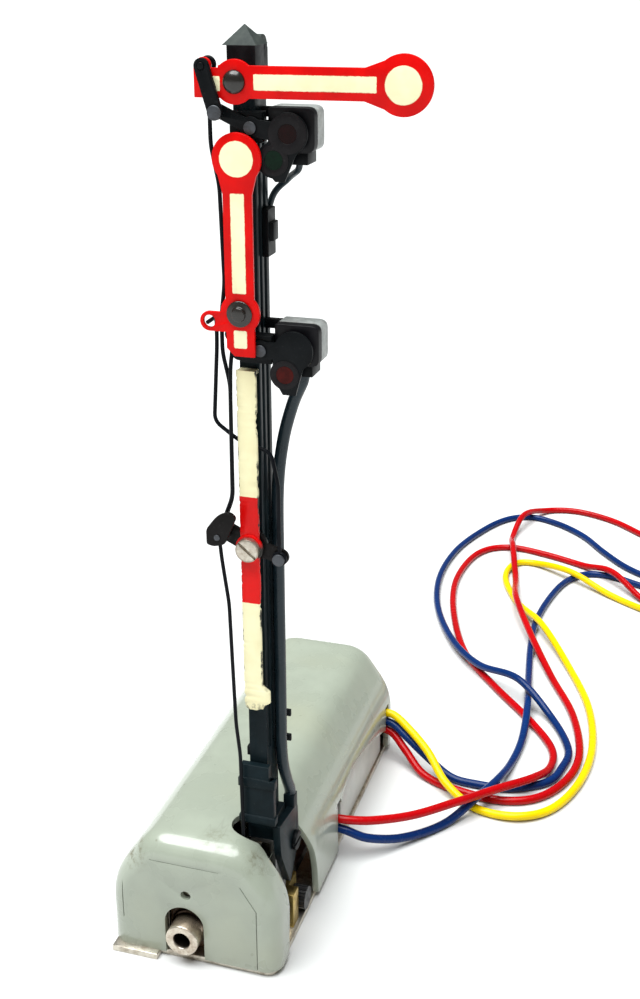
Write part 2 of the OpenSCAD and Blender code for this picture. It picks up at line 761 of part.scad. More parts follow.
// Outline of an arm lying along +X, drawn from its pivot.
module arm_outline(reach, disc_r, hub_r, tail) {
    half = 1.55;
    neck = disc_r + 0.9;
    circle(r = hub_r, $fn = 48);
    translate([-tail, -half]) square([tail + reach, 2 * half]);
    translate([reach, 0]) circle(r = disc_r, $fn = 64);
    polygon([[reach - neck, -half], [reach - disc_r * 0.62, -disc_r * 0.78], [reach, 0],
        [reach - disc_r * 0.62, disc_r * 0.78], [reach - neck, half]]);
}

module upper_arm() {
    color("red") front_sheet(arm_y, arm_t) translate(upper_pivot) difference() {
        arm_outline(upper_reach, 2.9, 2.15, 4.2);
        circle(r = 0.5 + fit, $fn = 32);
        translate(crank) circle(r = pin_r, $fn = 32);
        translate([-5, 1.3]) square([4.9 - 1.55, 1]);
    }
    color("red") front_sheet(arm_y, arm_t) translate(tail_hole) difference() {
        circle(r = 0.8, $fn = 32);
        circle(r = pin_r, $fn = 32);
    }
}

module rivet(at, head_y, head_r, head_t, shaft_r) {
    y_bar(at, head_y + head_t * 0.4, head_y + head_t, head_r);
    translate([at[0], head_y + head_t * 0.4, at[1]]) rotate([90, 0, 0])
        cylinder(h = head_t * 0.4, r1 = head_r, r2 = head_r * 0.55, $fn = 32);
    y_bar(at, head_y + head_t - eps, mast_y + 1.9, shaft_r);
}

module upper_arm_rivet() {
    color("#201c18") rivet(upper_pivot, arm_y - 0.75, 1.15, 0.7, 0.5);
}

module tail_pin() {
    color("#15181b") y_bar(tail_hole, link_y - 0.1, upper_rod_y + 0.35, pin_r);
}

module tail_link() {
    color("#101214") front_sheet(link_y, link_t) difference() {
        strap(tail_hole, upper_spec_crank, 0.75);
        translate(tail_hole) circle(r = pin_r + fit, $fn = 32);
        translate(upper_spec_crank) circle(r = pin_r + fit, $fn = 32);
    }
}

module upper_spectacle() {
    foot = upper_spec_pivot + [3, -5.2];
    color("#23262b") front_sheet(spec_y, spec_t) difference() {
        union() {
            strap(upper_spec_crank, upper_spec_pivot, 0.7);
            translate(upper_spec_pivot) circle(r = 1.1, $fn = 32);
            strap(upper_spec_pivot, upper_red_at, 0.9);
            translate(upper_red_at) circle(r = 2.05, $fn = 48);
            translate(upper_green_at) circle(r = 1.8, $fn = 48);
            polygon([
                upper_red_at + [2, -0.4], upper_red_at + [-1.6, 0], upper_green_at + [-1.75, 0],
                foot + [-0.5, 0], foot + [0.5, 0], upper_green_at + [2.2, 0.4]
            ]);
        }
        translate(upper_spec_pivot) circle(r = pin_r + fit, $fn = 32);
        translate(upper_spec_crank) circle(r = pin_r, $fn = 32);
        translate(upper_red_at) circle(r = lens_r, $fn = 32);
        translate(upper_green_at) circle(r = lens_r, $fn = 32);
    }
}

module lens(at) {
    y_bar(at, spec_y - 0.05, spec_y + spec_t, lens_r);
}

module upper_red_lens() {
    color("darkred") lens(upper_red_at);
}

module upper_green_lens() {
    color("darkgreen") lens(upper_green_at);
}

module link_rivet() {
    color("#4a5058") {
        y_bar(upper_spec_crank, link_y - 0.05, spec_y + spec_t, pin_r);
        y_bar(upper_spec_crank, link_y - 0.25, link_y - 0.05, 0.75);
    }
}

module spectacle_pins() {
    color("#7a7468") for (at = [upper_spec_pivot, lower_spec_pivot]) {
        y_bar(at, spec_y - 0.22, spec_y - 0.05, 0.65);
        y_bar(at, spec_y - 0.1, bearing_y + 0.4, pin_r);
    }
}

module lower_arm() {
    color("red") front_sheet(arm_y, arm_t) difference() {
        union() {
            translate(lower_pivot) rotate(90) arm_outline(lower_reach, 2.6, 2.15, 4.6);
            strap(lower_pivot + [-0.8, -1], lug_hole, 1.05);
        }
        translate(lower_pivot) circle(r = 0.5 + fit, $fn = 32);
        translate(lug_hole) circle(r = wire_r + 0.43, $fn = 32);
        translate(lower_pivot + [-1.55, -4.6]) rotate(-45) square([1.2, 1.2], center = true);
    }
}

module lower_arm_screw() {
    color("#6b6150") {
        y_bar(lower_pivot, arm_y - 0.3, arm_y - 0.05, 1.4);
        y_bar(lower_pivot, arm_y - 0.7, arm_y - 0.3, 0.75);
        y_bar(lower_pivot, arm_y - 0.1, mast_y + 1.9, 0.5);
    }
}

module lower_spectacle() {
    foot = lower_spec_pivot + [3.1, -4.6];
    color("#23262b") front_sheet(spec_y, spec_t) difference() {
        union() {
            strap(lower_spec_crank, lower_spec_pivot, 0.7);
            strap(lower_spec_pivot + [-2.4, -0.4], lower_spec_pivot, 0.8);
            translate(lower_spec_pivot) circle(r = 1.1, $fn = 32);
            strap(lower_spec_pivot, lower_blank_at, 0.9);
            translate(lower_blank_at) circle(r = 2.1, $fn = 48);
            translate(lower_lens_at) circle(r = 1.65, $fn = 48);
            polygon([
                lower_blank_at + [2.05, -0.3], lower_blank_at + [-1.9, 0], lower_lens_at + [-1.6, 0],
                foot + [-0.7, 0], foot + [0.7, 0], lower_lens_at + [1.9, 0.6]
            ]);
        }
        translate(lower_spec_pivot) circle(r = pin_r + fit, $fn = 32);
        translate(lower_spec_crank) circle(r = pin_r, $fn = 32);
        translate(lower_lens_at) circle(r = lens_r, $fn = 32);
    }
}

module lower_lens() {
    color("#c03010") lens(lower_lens_at);
}

module crank_pin() {
    color("#4a5058") y_bar(lower_spec_crank, spec_y - 0.1, spec_eye_y + 0.3, pin_r);
}

module upper_arm_rod() {
    top = tail_hole;
    low = rocker_crank;
    color("#14161a") {
        eye(top, upper_rod_y);
        wire([
            [top[0], upper_rod_y, top[1] - eye_r], [top[0], upper_rod_y, 98.5],
            [top[0] + 0.8, upper_rod_y, 94.5], [top[0] + 1.05, upper_rod_y, 84.5],
            [top[0] + 0.6, upper_rod_y, 81], [top[0] + 0.6, upper_rod_y, 77],
            [top[0] + 1.35, upper_rod_y, 73.5], [top[0] + 1.3, upper_rod_y, 60.5],
            [low[0] + 0.6, upper_rod_y, 58.6], [low[0], upper_rod_y, low[1] + eye_r]
        ]);
        eye(low, upper_rod_y);
    }
}

module lower_arm_rod() {
    low_y = upper_rod_y;
    color("#14161a") {
        wire([
            [lug_hole[0], arm_y - 0.45, lug_hole[1]], [lug_hole[0], gap_rod_y, lug_hole[1]],
            [lug_hole[0] - 0.05, gap_rod_y, 77.5], [lug_hole[0] - 0.6, gap_rod_y, 69],
            [mast_x - 1.2, gap_rod_y, 67], [mast_x + 2.4, gap_rod_y, 66],
            [rocker_end[0], low_y, 62.4], [rocker_end[0], low_y, rocker_end[1] + eye_r]
        ]);
        eye(rocker_end, low_y);
    }
}

module spectacle_rod() {
    top = lower_spec_crank;
    low = rocker_crank;
    color("#14161a") {
        eye(top, spec_eye_y);
        wire([
            [top[0], spec_eye_y, top[1] - eye_r], [top[0] - 0.15, spec_eye_y, 77.4],
            [top[0] - 0.25, spec_rod_y, 75.6], [top[0] - 0.35, spec_rod_y, 72],
            [top[0] - 0.45, spec_rod_y, 60.8], [low[0] + 0.6, spec_rod_y, 58.6],
            [low[0], spec_rod_y, low[1] + eye_r]
        ]);
        eye(low, spec_rod_y);
    }
}

module drive_rod() {
    top = rocker_crank;
    color("#14161a") {
        eye(top, drive_rod_y);
        wire([
            [top[0], drive_rod_y, top[1] - eye_r], [top[0] + 0.2, drive_rod_y, 53.4],
            [top[0] + 0.9, drive_rod_y, 48], [top[0] + 1.1, drive_rod_y, 40],
            [top[0] + 1.3, drive_rod_y, 32.5], [rod_foot_x - 0.1, rod_foot_y, 28],
            [rod_foot_x, rod_foot_y, 18], [rod_foot_x, rod_foot_y, lever_z],
            [drive_x - 0.8, rod_foot_y, lever_z]
        ]);
    }
}

// A lantern: a lamp house open at the back for the bulb, with a round light opening in front.
module lantern(at) {
    wall = 0.45;
    left = at[0] - lantern_w / 2;
    right = at[0] + lantern_w / 2;
    low = at[1] - lantern_h / 2;
    high = at[1] + lantern_h / 2;
    difference() {
        translate([0, lantern_y + lantern_d, 0]) rotate([90, 0, 0]) linear_extrude(lantern_d)
            polygon(softened(
                [[left, low], [right, low], [right, high], [left, high]], [0.3, 0.9, 0.9, 0.3]
            ));
        block(
            [left + wall, lantern_y + wall, low + wall],
            [right - wall, lantern_y + lantern_d - wall, high - wall]
        );
        y_bar(at, lantern_y - 1, lantern_y + 1, 1.2);
        translate([at[0], lantern_y + lantern_d / 2, low - 1]) cylinder(h = 2, r = 0.9, $fn = 24);
    }
}

module upper_lantern() {
    color("#9aa0a0") lantern(upper_lantern_at);
}

module lower_lantern() {
    color("#9aa0a0") lantern(lower_lantern_at);
}

module lantern_bulbs() {
    color("#f3efe0") for (at = [upper_lantern_at, lower_lantern_at]) {
        translate([at[0], lantern_y + lantern_d / 2, at[1] - lantern_h / 2 - 0.4]) {
            cylinder(h = 1.6, r = 0.85, $fn = 24);
            translate([0, 0, 1.5]) cylinder(h = 1, r = 0.7, $fn = 24);
            translate([0, 0, 2.5]) sphere(r = 0.7, $fn = 24);
        }
    }
}

// Brackets that hold lanterns and spectacles to the mast's front and side.
module lantern_brackets() {
    side_x = mast_x + mast_w / 2;
    plate_h = 3;
    pivots = [upper_spec_pivot, lower_spec_pivot];
    places = [upper_lantern_at, lower_lantern_at];
    color("#1d2226") for (i = [0:1]) {
        pivot = pivots[i];
        at = places[i];
        left = at[0] - lantern_w / 2;
        low = at[1] - lantern_h / 2;
        difference() {
            block(
                [pivot[0] - 2.3, bearing_y, pivot[1] - plate_h / 2],
                [pivot[0] + 1.1, mast_y, pivot[1] + plate_h / 2]
            );
            y_bar(pivot, bearing_y - 1, mast_y + 1, pin_r);
        }
        block([side_x, mast_y, at[1] - 0.8], [left, mast_y + 0.8, at[1] + 0.8]);
        block([side_x, mast_y + 2.2, at[1] + 0.9], [left, mast_y + 3, at[1] + 1.9]);
        difference() {
            block(
                [at[0] - 1.6, lantern_y + 0.3, low - 1.2],
                [at[0] + 1.6, lantern_y + lantern_d - 0.2, low]
            );
            translate([at[0], lantern_y + lantern_d / 2, low - 0.4]) cylinder(h = 2, r = 0.85, $fn = 24);
        }
    }
}

module yellow_lead() {
    color("yellow") tube(yellow_route, lead_d / 2, 2);
}

module rear_blue_lead() {
    color("#1c3c9c") tube(rear_blue_route, lead_d / 2, 2);
}

module rear_red_lead() {
    color("#c01818") tube(rear_red_route, lead_d / 2, 2);
}

module front_red_lead() {
    color("#c01818") tube(front_red_route, lead_d / 2, 2);
}

module front_blue_lead() {
    color("#1c3c9c") tube(front_blue_route, lead_d / 2, 2);
}

// A small round plug that carries on in the direction in which its lead arrives.
module plug(route) {
    last = route[len(route) - 1];
    run = last - route[len(route) - 2];
    turn = atan2(run[1], run[0]);
    translate(last) rotate([0, 90, turn]) {
        cylinder(h = plug_l, r = plug_r, $fn = 32);
        translate([0, 0, plug_l - eps]) cylinder(h = tip_l, r = tip_r, $fn = 24);
    }
}

module lead_plugs() {
    routes = [yellow_route, rear_blue_route, rear_red_route, front_red_route, front_blue_route];
    tints = ["yellow", "#1c3c9c", "#c01818", "#c01818", "#1c3c9c"];
    for (i = [0:len(routes) - 1]) color(tints[i]) plug(routes[i]);
}

base_plate();
base_cover();
side_panel();
plug_socket();
socket_insulator();
front_bracket();
cover_screw();
coil_yoke();
coil_bobbins();
coil_windings();
plunger();
drive_lever();
lever_bracket();
lever_pin();
terminal_board();
solder_tags();
contact_springs();
mast_post();
mast_foot();
foot_screw();
terminal_block();
terminal_screw();
mast();
mast_head();
hoist_bracket();
control_box();
mast_board();
lamp_lead();
mast_clips();
rocker();
rocker_screw();
rocker_pins();
upper_arm();
upper_arm_rivet();
tail_pin();
tail_link();
upper_spectacle();
upper_red_lens();
upper_green_lens();
link_rivet();
spectacle_pins();
lower_arm();
lower_arm_screw();
lower_spectacle();
lower_lens();
crank_pin();
upper_arm_rod();
lower_arm_rod();
spectacle_rod();
drive_rod();
upper_lantern();
lower_lantern();
lantern_bulbs();
lantern_brackets();
yellow_lead();
rear_blue_lead();
rear_red_lead();
front_red_lead();
front_blue_lead();
lead_plugs();
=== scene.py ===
import bpy
import bmesh
import json
import math
from mathutils import Matrix, Vector, noise


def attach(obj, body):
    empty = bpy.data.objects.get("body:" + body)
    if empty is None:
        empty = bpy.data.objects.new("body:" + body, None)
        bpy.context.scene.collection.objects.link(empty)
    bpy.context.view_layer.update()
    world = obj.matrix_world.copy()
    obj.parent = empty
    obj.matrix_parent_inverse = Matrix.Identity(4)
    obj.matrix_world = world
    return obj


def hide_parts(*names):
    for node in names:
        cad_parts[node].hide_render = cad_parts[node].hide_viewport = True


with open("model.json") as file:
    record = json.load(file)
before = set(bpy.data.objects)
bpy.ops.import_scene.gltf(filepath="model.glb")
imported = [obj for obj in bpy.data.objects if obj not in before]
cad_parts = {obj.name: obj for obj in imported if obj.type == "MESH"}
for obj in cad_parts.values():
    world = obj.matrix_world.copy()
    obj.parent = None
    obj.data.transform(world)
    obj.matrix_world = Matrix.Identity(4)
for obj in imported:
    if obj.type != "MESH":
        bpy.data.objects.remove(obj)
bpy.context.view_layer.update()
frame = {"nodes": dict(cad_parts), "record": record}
MM = 0.001

# ---------------------------------------------------------------- camera
camera_at = Vector((55.077, -152.998, 117.294)) * MM
yaw, pitch, roll = 0.312, -0.363, -0.009
focal_px, centre_px, centre_py = 1368.591, 304.019, 463.365
photo_w, photo_h = 640, 999
sensor_mm = 36
ahead = Vector((-math.sin(yaw) * math.cos(pitch), math.cos(yaw) * math.cos(pitch), math.sin(pitch)))
right = ahead.cross(Vector((0, 0, 1))).normalized()
up = right.cross(ahead)
right_2 = right * math.cos(roll) + up * math.sin(roll)
up_2 = up * math.cos(roll) - right * math.sin(roll)
camera_data = bpy.data.cameras.new("camera")
camera_data.sensor_width = sensor_mm
camera_data.lens = focal_px * sensor_mm / photo_h
camera_data.shift_x = (photo_w / 2 - centre_px) / photo_h
camera_data.shift_y = (centre_py - photo_h / 2) / photo_h
camera_data.clip_start = 0.01
camera_data.clip_end = 60
camera = bpy.data.objects.new("camera", camera_data)
bpy.context.collection.objects.link(camera)
camera.matrix_world = Matrix((
    (right_2.x, up_2.x, -ahead.x, camera_at.x),
    (right_2.y, up_2.y, -ahead.y, camera_at.y),
    (right_2.z, up_2.z, -ahead.z, camera_at.z),
    (0, 0, 0, 1),
))
bpy.context.scene.camera = camera


# ---------------------------------------------------------------- shader helpers
class Sock:
    """An output socket that can be used in sums."""

    def __init__(self, tree, out):
        self.tree = tree
        self.out = out

    def math(self, op, *others, clamp=False):
        n = self.tree.nodes.new("ShaderNodeMath")
        n.operation = op
        n.use_clamp = clamp
        for i, v in enumerate((self,) + others):
            if isinstance(v, Sock):
                self.tree.links.new(v.out, n.inputs[i])
            else:
                n.inputs[i].default_value = v
        return Sock(self.tree, n.outputs[0])

    def __add__(self, v):
        return self.math("ADD", v)

    def __sub__(self, v):
        return self.math("SUBTRACT", v)

    def __mul__(self, v):
        return self.math("MULTIPLY", v)

    def abs(self):
        return self.math("ABSOLUTE")

    def max(self, v):
        return self.math("MAXIMUM", v)

    def min(self, v):
        return self.math("MINIMUM", v)

    def fade(self, low, high, to_low=0.0, to_high=1.0):
        n = self.tree.nodes.new("ShaderNodeMapRange")
        n.interpolation_type = "SMOOTHSTEP"
        self.tree.links.new(self.out, n.inputs[0])
        for i, v in enumerate((low, high, to_low, to_high)):
            n.inputs[i + 1].default_value = v
        return Sock(self.tree, n.outputs[0])


class Paint:
    """A material under construction. Coordinates are millimetres in the row frame."""

    def __init__(self, name):
        self.mat = bpy.data.materials.new(name)
        self.mat.use_nodes = True
        self.tree = self.mat.node_tree
        self.tree.nodes.clear()
        out = self.tree.nodes.new("ShaderNodeOutputMaterial")
        self.bsdf = self.tree.nodes.new("ShaderNodeBsdfPrincipled")
        self.tree.links.new(self.bsdf.outputs[0], out.inputs[0])
        coord = self.tree.nodes.new("ShaderNodeTexCoord")
        scale = self.tree.nodes.new("ShaderNodeVectorMath")
        scale.operation = "SCALE"
        scale.inputs["Scale"].default_value = 1000
        self.tree.links.new(coord.outputs["Object"], scale.inputs[0])
        self.pos = scale.outputs[0]
        split = self.tree.nodes.new("ShaderNodeSeparateXYZ")
        self.tree.links.new(self.pos, split.inputs[0])
        self.x, self.y, self.z = (Sock(self.tree, o) for o in split.outputs)

    def noise(self, size, detail=3.0, rough=0.55, stretch=(1, 1, 1), seed=0.0):
        """Noise whose features are about size millimetres across."""
        m = self.tree.nodes.new("ShaderNodeMapping")
        m.inputs["Scale"].default_value = stretch
        m.inputs["Location"].default_value = (seed, seed * 1.7, seed * 0.6)
        self.tree.links.new(self.pos, m.inputs[0])
        n = self.tree.nodes.new("ShaderNodeTexNoise")
        n.inputs["Scale"].default_value = 1 / size
        n.inputs["Detail"].default_value = detail
        n.inputs["Roughness"].default_value = rough
        self.tree.links.new(m.outputs[0], n.inputs["Vector"])
        return Sock(self.tree, n.outputs[0])

    def cells(self, size, seed=0.0):
        m = self.tree.nodes.new("ShaderNodeMapping")
        m.inputs["Location"].default_value = (seed, seed * 1.3, seed * 0.8)
        self.tree.links.new(self.pos, m.inputs[0])
        n = self.tree.nodes.new("ShaderNodeTexVoronoi")
        n.inputs["Scale"].default_value = 1 / size
        self.tree.links.new(m.outputs[0], n.inputs["Vector"])
        return Sock(self.tree, n.outputs["Distance"])

    def mix(self, fac, a, b):
        n = self.tree.nodes.new("ShaderNodeMix")
        n.data_type = "RGBA"
        self.tree.links.new(fac.out, n.inputs["Factor"])
        for key, v in (("A", a), ("B", b)):
            sock = [s for s in n.inputs if s.name == key and s.type == "RGBA"][0]
            if isinstance(v, Sock):
                self.tree.links.new(v.out, sock)
            else:
                sock.default_value = (*v, 1)
        out = [s for s in n.outputs if s.type == "RGBA"][0]
        return Sock(self.tree, out)

    def lump(self, height, depth, strength=1.0, below=None):
        """Bump of the given depth in millimetres."""
        n = self.tree.nodes.new("ShaderNodeBump")
        n.inputs["Distance"].default_value = depth * MM
        n.inputs["Strength"].default_value = strength
        self.tree.links.new(height.out, n.inputs["Height"])
        if below:
            self.tree.links.new(below.out, n.inputs["Normal"])
        return Sock(self.tree, n.outputs[0])

    def box(self, x, z, half_x, half_z, round_r=0.2):
        """Signed distance to a rounded box in X and Z, negative inside."""
        dx = ((self.x - x).abs() - (half_x - round_r)).max(0.0)
        dz = ((self.z - z).abs() - (half_z - round_r)).max(0.0)
        return (dx * dx + dz * dz).math("SQRT") - round_r

    def disc(self, x, z, r):
        dx = self.x - x
        dz = self.z - z
        return (dx * dx + dz * dz).math("SQRT") - r

    def ball(self, x, y, z, r):
        """1 at the place, falling to 0 at distance r."""
        dx, dy, dz = self.x - x, self.y - y, self.z - z
        return (dx * dx + dy * dy + dz * dz).math("SQRT").fade(r, 0.0)

    def set(self, colour=None, rough=None, normal=None, metal=None, coat=None, coat_rough=None, ior=None,
            transmission=None, alpha=None, specular=None):
        table = {"Base Color": colour, "Roughness": rough, "Normal": normal, "Metallic": metal}
        for key, v in table.items():
            if v is None:
                continue
            if isinstance(v, Sock):
                self.tree.links.new(v.out, self.bsdf.inputs[key])
            elif key == "Base Color":
                self.bsdf.inputs[key].default_value = (*v, 1)
            else:
                self.bsdf.inputs[key].default_value = v
        plain = {"Coat Weight": coat, "Coat Roughness": coat_rough, "IOR": ior,
                 "Transmission Weight": transmission, "Alpha": alpha, "Specular IOR Level": specular}
        for key, v in plain.items():
            if v is not None:
                self.bsdf.inputs[key].default_value = v
        return self.mat


def shade(colour, k):
    return tuple(min(1.0, c * k) for c in colour)


# ---------------------------------------------------------------- materials
def cover_paint():
    p = Paint("cover_paint")
    base = (0.315, 0.35, 0.285)
    patch = p.noise(7, 3, 0.6)
    fine = p.noise(0.5, 4, 0.7)
    c = p.mix(patch.fade(0.35, 0.7), shade(base, 0.95), shade(base, 1.05))
    warm = p.noise(16, 2, 0.5, seed=9).fade(0.45, 0.75)
    c = p.mix(warm * 0.5, c, (0.345, 0.36, 0.262))
    grime = p.noise(1.1, 5, 0.75, seed=4)
    stain = p.ball(-8.0, -26.8, 14.2, 3.4).max(p.ball(2.5, -25.5, 16.6, 3.0) * 0.45)
    stain = stain.max(p.ball(8.0, -25.4, 15.4, 3.2) * 0.6).max(p.ball(10, -9, 9, 4) * 0.3)
    dirt = (stain * 1.5 * grime.fade(0.42, 0.72)).math("MINIMUM", 1.0)
    c = p.mix(dirt * 0.9, c, (0.085, 0.07, 0.022))
    low = p.z.fade(3.0, 0.8) * grime.fade(0.45, 0.75)
    c = p.mix(low * 0.35, c, (0.2, 0.19, 0.13))
    specks = p.cells(2.6, seed=3).fade(0.11, 0.05) * p.noise(2.0, 2, 0.5, seed=7).fade(0.55, 0.7)
    c = p.mix(specks * 0.7, c, (0.12, 0.11, 0.07))
    hair = p.noise(3.5, 2, 0.5, stretch=(1, 0.16, 1), seed=11)
    hairline = (hair - 0.5).abs().fade(0.006, 0.0) * p.noise(6, 2, 0.5, seed=2).fade(0.55, 0.7)
    c = p.mix(hairline * 0.25, c, (0.17, 0.17, 0.14))
    rough = patch.fade(0.3, 0.7, 0.24, 0.36) + dirt * 0.35
    n = p.lump(p.noise(0.9, 3, 0.5, seed=5), 0.02, 0.55)
    n = p.lump(fine, 0.008, 0.4, below=n)
    return p.set(c, rough, n, coat=0.5, coat_rough=0.08)


def panel_paint():
    p = Paint("panel_grey")
    patch = p.noise(4, 3, 0.6)
    c = p.mix(patch.fade(0.35, 0.7), (0.60, 0.62, 0.58), (0.68, 0.69, 0.65))
    c = p.mix(p.noise(0.8, 5, 0.7, seed=4).fade(0.6, 0.75) * 0.4, c, (0.3, 0.28, 0.22))
    return p.set(c, 0.42, p.lump(p.noise(0.5, 3), 0.01, 0.4))


def metal(name, colour, tarnish, rough, grain=(1, 1, 1), size=0.6, metallic=1.0, depth=0.012):
    p = Paint(name)
    patch = p.noise(1.6, 4, 0.65, seed=3)
    c = p.mix(patch.fade(0.42, 0.75), colour, tarnish)
    brush = p.noise(size, 4, 0.6, stretch=grain)
    c = p.mix(brush.fade(0.3, 0.8) * 0.35, c, shade(colour, 1.25))
    r = patch.fade(0.35, 0.75, rough, min(1.0, rough + 0.25))
    return p.set(c, r, p.lump(brush, depth, 0.6), metal=metallic)


def enamel(name, colour, chip=(0.02, 0.02, 0.022), rough=0.35, dust=0.25, chips=0.7, specular=0.2, size=2.5):
    p = Paint(name)
    patch = p.noise(size, 3, 0.6)
    c = p.mix(patch.fade(0.3, 0.75), shade(colour, 0.8), shade(colour, 1.25))
    dusty = p.noise(0.35, 5, 0.75, seed=6).fade(0.58, 0.8)
    c = p.mix(dusty * dust, c, (0.10, 0.105, 0.10))
    nick = p.cells(1.4, seed=2).fade(0.10, 0.03) * p.noise(1.5, 2, 0.5, seed=5).fade(0.55, 0.68)
    c = p.mix(nick * chips, c, chip)
    n = p.lump(p.noise(0.3, 3, 0.5), 0.012, 0.6)
    n = p.lump(p.noise(1.3, 2, 0.5, seed=8), 0.02, 0.4, below=n)
    return p.set(c, dusty.fade(0, 1, rough, min(1.0, rough + 0.25)), n, specular=specular)




def striped(name, marks):
    """Red enamel with cream fields. marks gives the distance to the nearest field."""
    p = Paint(name)
    patch = p.noise(3, 3, 0.55)
    red = p.mix(patch.fade(0.3, 0.75), (0.60, 0.002, 0.002), (0.76, 0.003, 0.002))
    cream = p.mix(patch.fade(0.35, 0.7), (0.92, 0.86, 0.54), (0.96, 0.92, 0.62))
    speck = p.cells(1.3, seed=5).fade(0.07, 0.02) * p.noise(1.4, 2, 0.5, seed=3).fade(0.52, 0.66)
    cream = p.mix(speck * 0.6, cream, (0.30, 0.20, 0.08))
    ragged = p.noise(0.28, 3, 0.6, seed=7)
    d = marks(p) + (ragged - 0.5) * 0.10
    field = d.fade(0.03, -0.03)
    c = p.mix(field, red, cream)
    edge_dirt = d.abs().fade(0.09, 0.02) * p.noise(0.9, 3, 0.6, seed=12).fade(0.5, 0.72)
    c = p.mix(edge_dirt * 0.5, c, (0.25, 0.06, 0.01))
    n = p.lump(field, 0.03, 0.5)
    n = p.lump(p.noise(0.35, 3, 0.5), 0.01, 0.6, below=n)
    return p.set(c, 0.33, n, specular=0.12)


def nearest(*ds):
    d = ds[0]
    for e in ds[1:]:
        d = d.min(e)
    return d


def board_paint():
    p = Paint("board_paint")
    patch = p.noise(4, 4, 0.6)
    cream = p.mix(patch.fade(0.35, 0.7), (0.88, 0.81, 0.50), (0.94, 0.89, 0.58))
    speck = p.cells(1.1, seed=4).fade(0.09, 0.03) * p.noise(1.1, 3, 0.5, seed=3).fade(0.5, 0.62)
    cream = p.mix(speck * 0.65, cream, (0.22, 0.17, 0.09))
    red = p.mix(patch.fade(0.3, 0.75), (0.62, 0.002, 0.002), (0.78, 0.003, 0.002))
    ragged = p.noise(0.5, 3, 0.6, seed=7)
    d = (p.z - 54.4).abs() - 6.45 + (ragged - 0.5) * 0.08
    boss = p.disc(6.8, 54.8, 1.7)
    c = p.mix(d.min(boss).fade(0.03, -0.03), cream, red)
    bite = p.noise(0.55, 4, 0.7, seed=2, stretch=(1, 1, 0.7))
    edge = (p.x - 6.8).abs() + (bite - 0.5) * 0.55
    worn = edge.fade(1.0, 1.10) * p.noise(2.6, 2, 0.5, seed=14).fade(0.38, 0.56)
    tip = p.z.fade(35.6, 34.0) * bite.fade(0.45, 0.62)
    worn = worn.max(tip * 0.8)
    c = p.mix(worn, c, (0.035, 0.033, 0.03))
    n = p.lump(worn, -0.04, 0.6)
    n = p.lump(p.noise(0.4, 4, 0.6), 0.016, 0.6, below=n)
    return p.set(c, worn.fade(0, 1, 0.36, 0.6), n, specular=0.2)


def plastic(name, colour, rough=0.28, size=3.0, specular=0.3, dust=0.2):
    p = Paint(name)
    patch = p.noise(size, 3, 0.55)
    c = p.mix(patch.fade(0.3, 0.75), shade(colour, 0.9), shade(colour, 1.08))
    grime = p.noise(0.5, 5, 0.75, seed=5).fade(0.6, 0.8)
    c = p.mix(grime * dust, c, shade(colour, 0.35))
    r = p.noise(0.8, 3, 0.6, seed=2).fade(0.3, 0.75, rough * 0.8, rough * 1.3)
    return p.set(c, r, p.lump(p.noise(0.4, 3, 0.5), 0.008, 0.6), specular=specular)


def head_paint():
    p = Paint("head_paint")
    patch = p.noise(1.0, 4, 0.65)
    body = p.mix(patch.fade(0.3, 0.75), (0.008, 0.009, 0.011), (0.02, 0.022, 0.025))
    roof = p.mix(patch.fade(0.3, 0.75), (0.035, 0.044, 0.042), (0.065, 0.076, 0.07))
    c = p.mix((p.z + p.noise(0.3, 3) * 0.1).fade(108.1, 108.16), body, roof)
    return p.set(c, patch.fade(0.3, 0.8, 0.4, 0.6), p.lump(p.noise(0.4, 4, 0.6), 0.02, 0.6), specular=0.08)


def glass(name, colour, rough=0.08):
    p = Paint(name)
    c = p.mix(p.noise(0.7, 3, 0.6).fade(0.3, 0.75), shade(colour, 0.7), shade(colour, 1.2))
    n = p.lump(p.noise(0.5, 2, 0.5), 0.02, 0.4)
    return p.set(c, p.noise(0.4, 3).fade(0.3, 0.8, rough, rough + 0.12), n, specular=0.1)


def lantern_paint():
    p = Paint("lantern_grey")
    patch = p.noise(1.2, 4, 0.65)
    c = p.mix(patch.fade(0.3, 0.75), (0.26, 0.28, 0.275), (0.42, 0.44, 0.43))
    c = p.mix(p.noise(0.6, 5, 0.75, seed=4).fade(0.52, 0.72) * 0.55, c, (0.14, 0.13, 0.10))
    front = (p.y + p.noise(0.5, 3, 0.6, seed=2) * 0.16).fade(-21.25, -21.35)
    black = p.mix(patch.fade(0.3, 0.75), (0.002, 0.002, 0.003), (0.006, 0.006, 0.008))
    c = p.mix(front, c, black)
    return p.set(c, 0.42, p.lump(p.noise(0.4, 3, 0.5), 0.015, 0.6), specular=0.2)


def winding():
    p = Paint("copper")
    w = p.tree.nodes.new("ShaderNodeTexWave")
    w.wave_type = "BANDS"
    w.bands_direction = "Y"
    w.inputs["Scale"].default_value = 1.6
    w.inputs["Distortion"].default_value = 0.4
    p.tree.links.new(p.pos, w.inputs["Vector"])
    turns = Sock(p.tree, w.outputs["Fac"])
    c = p.mix(turns, (0.16, 0.05, 0.02), (0.55, 0.22, 0.09))
    return p.set(c, 0.35, p.lump(turns, 0.06, 0.8), metal=0.8)


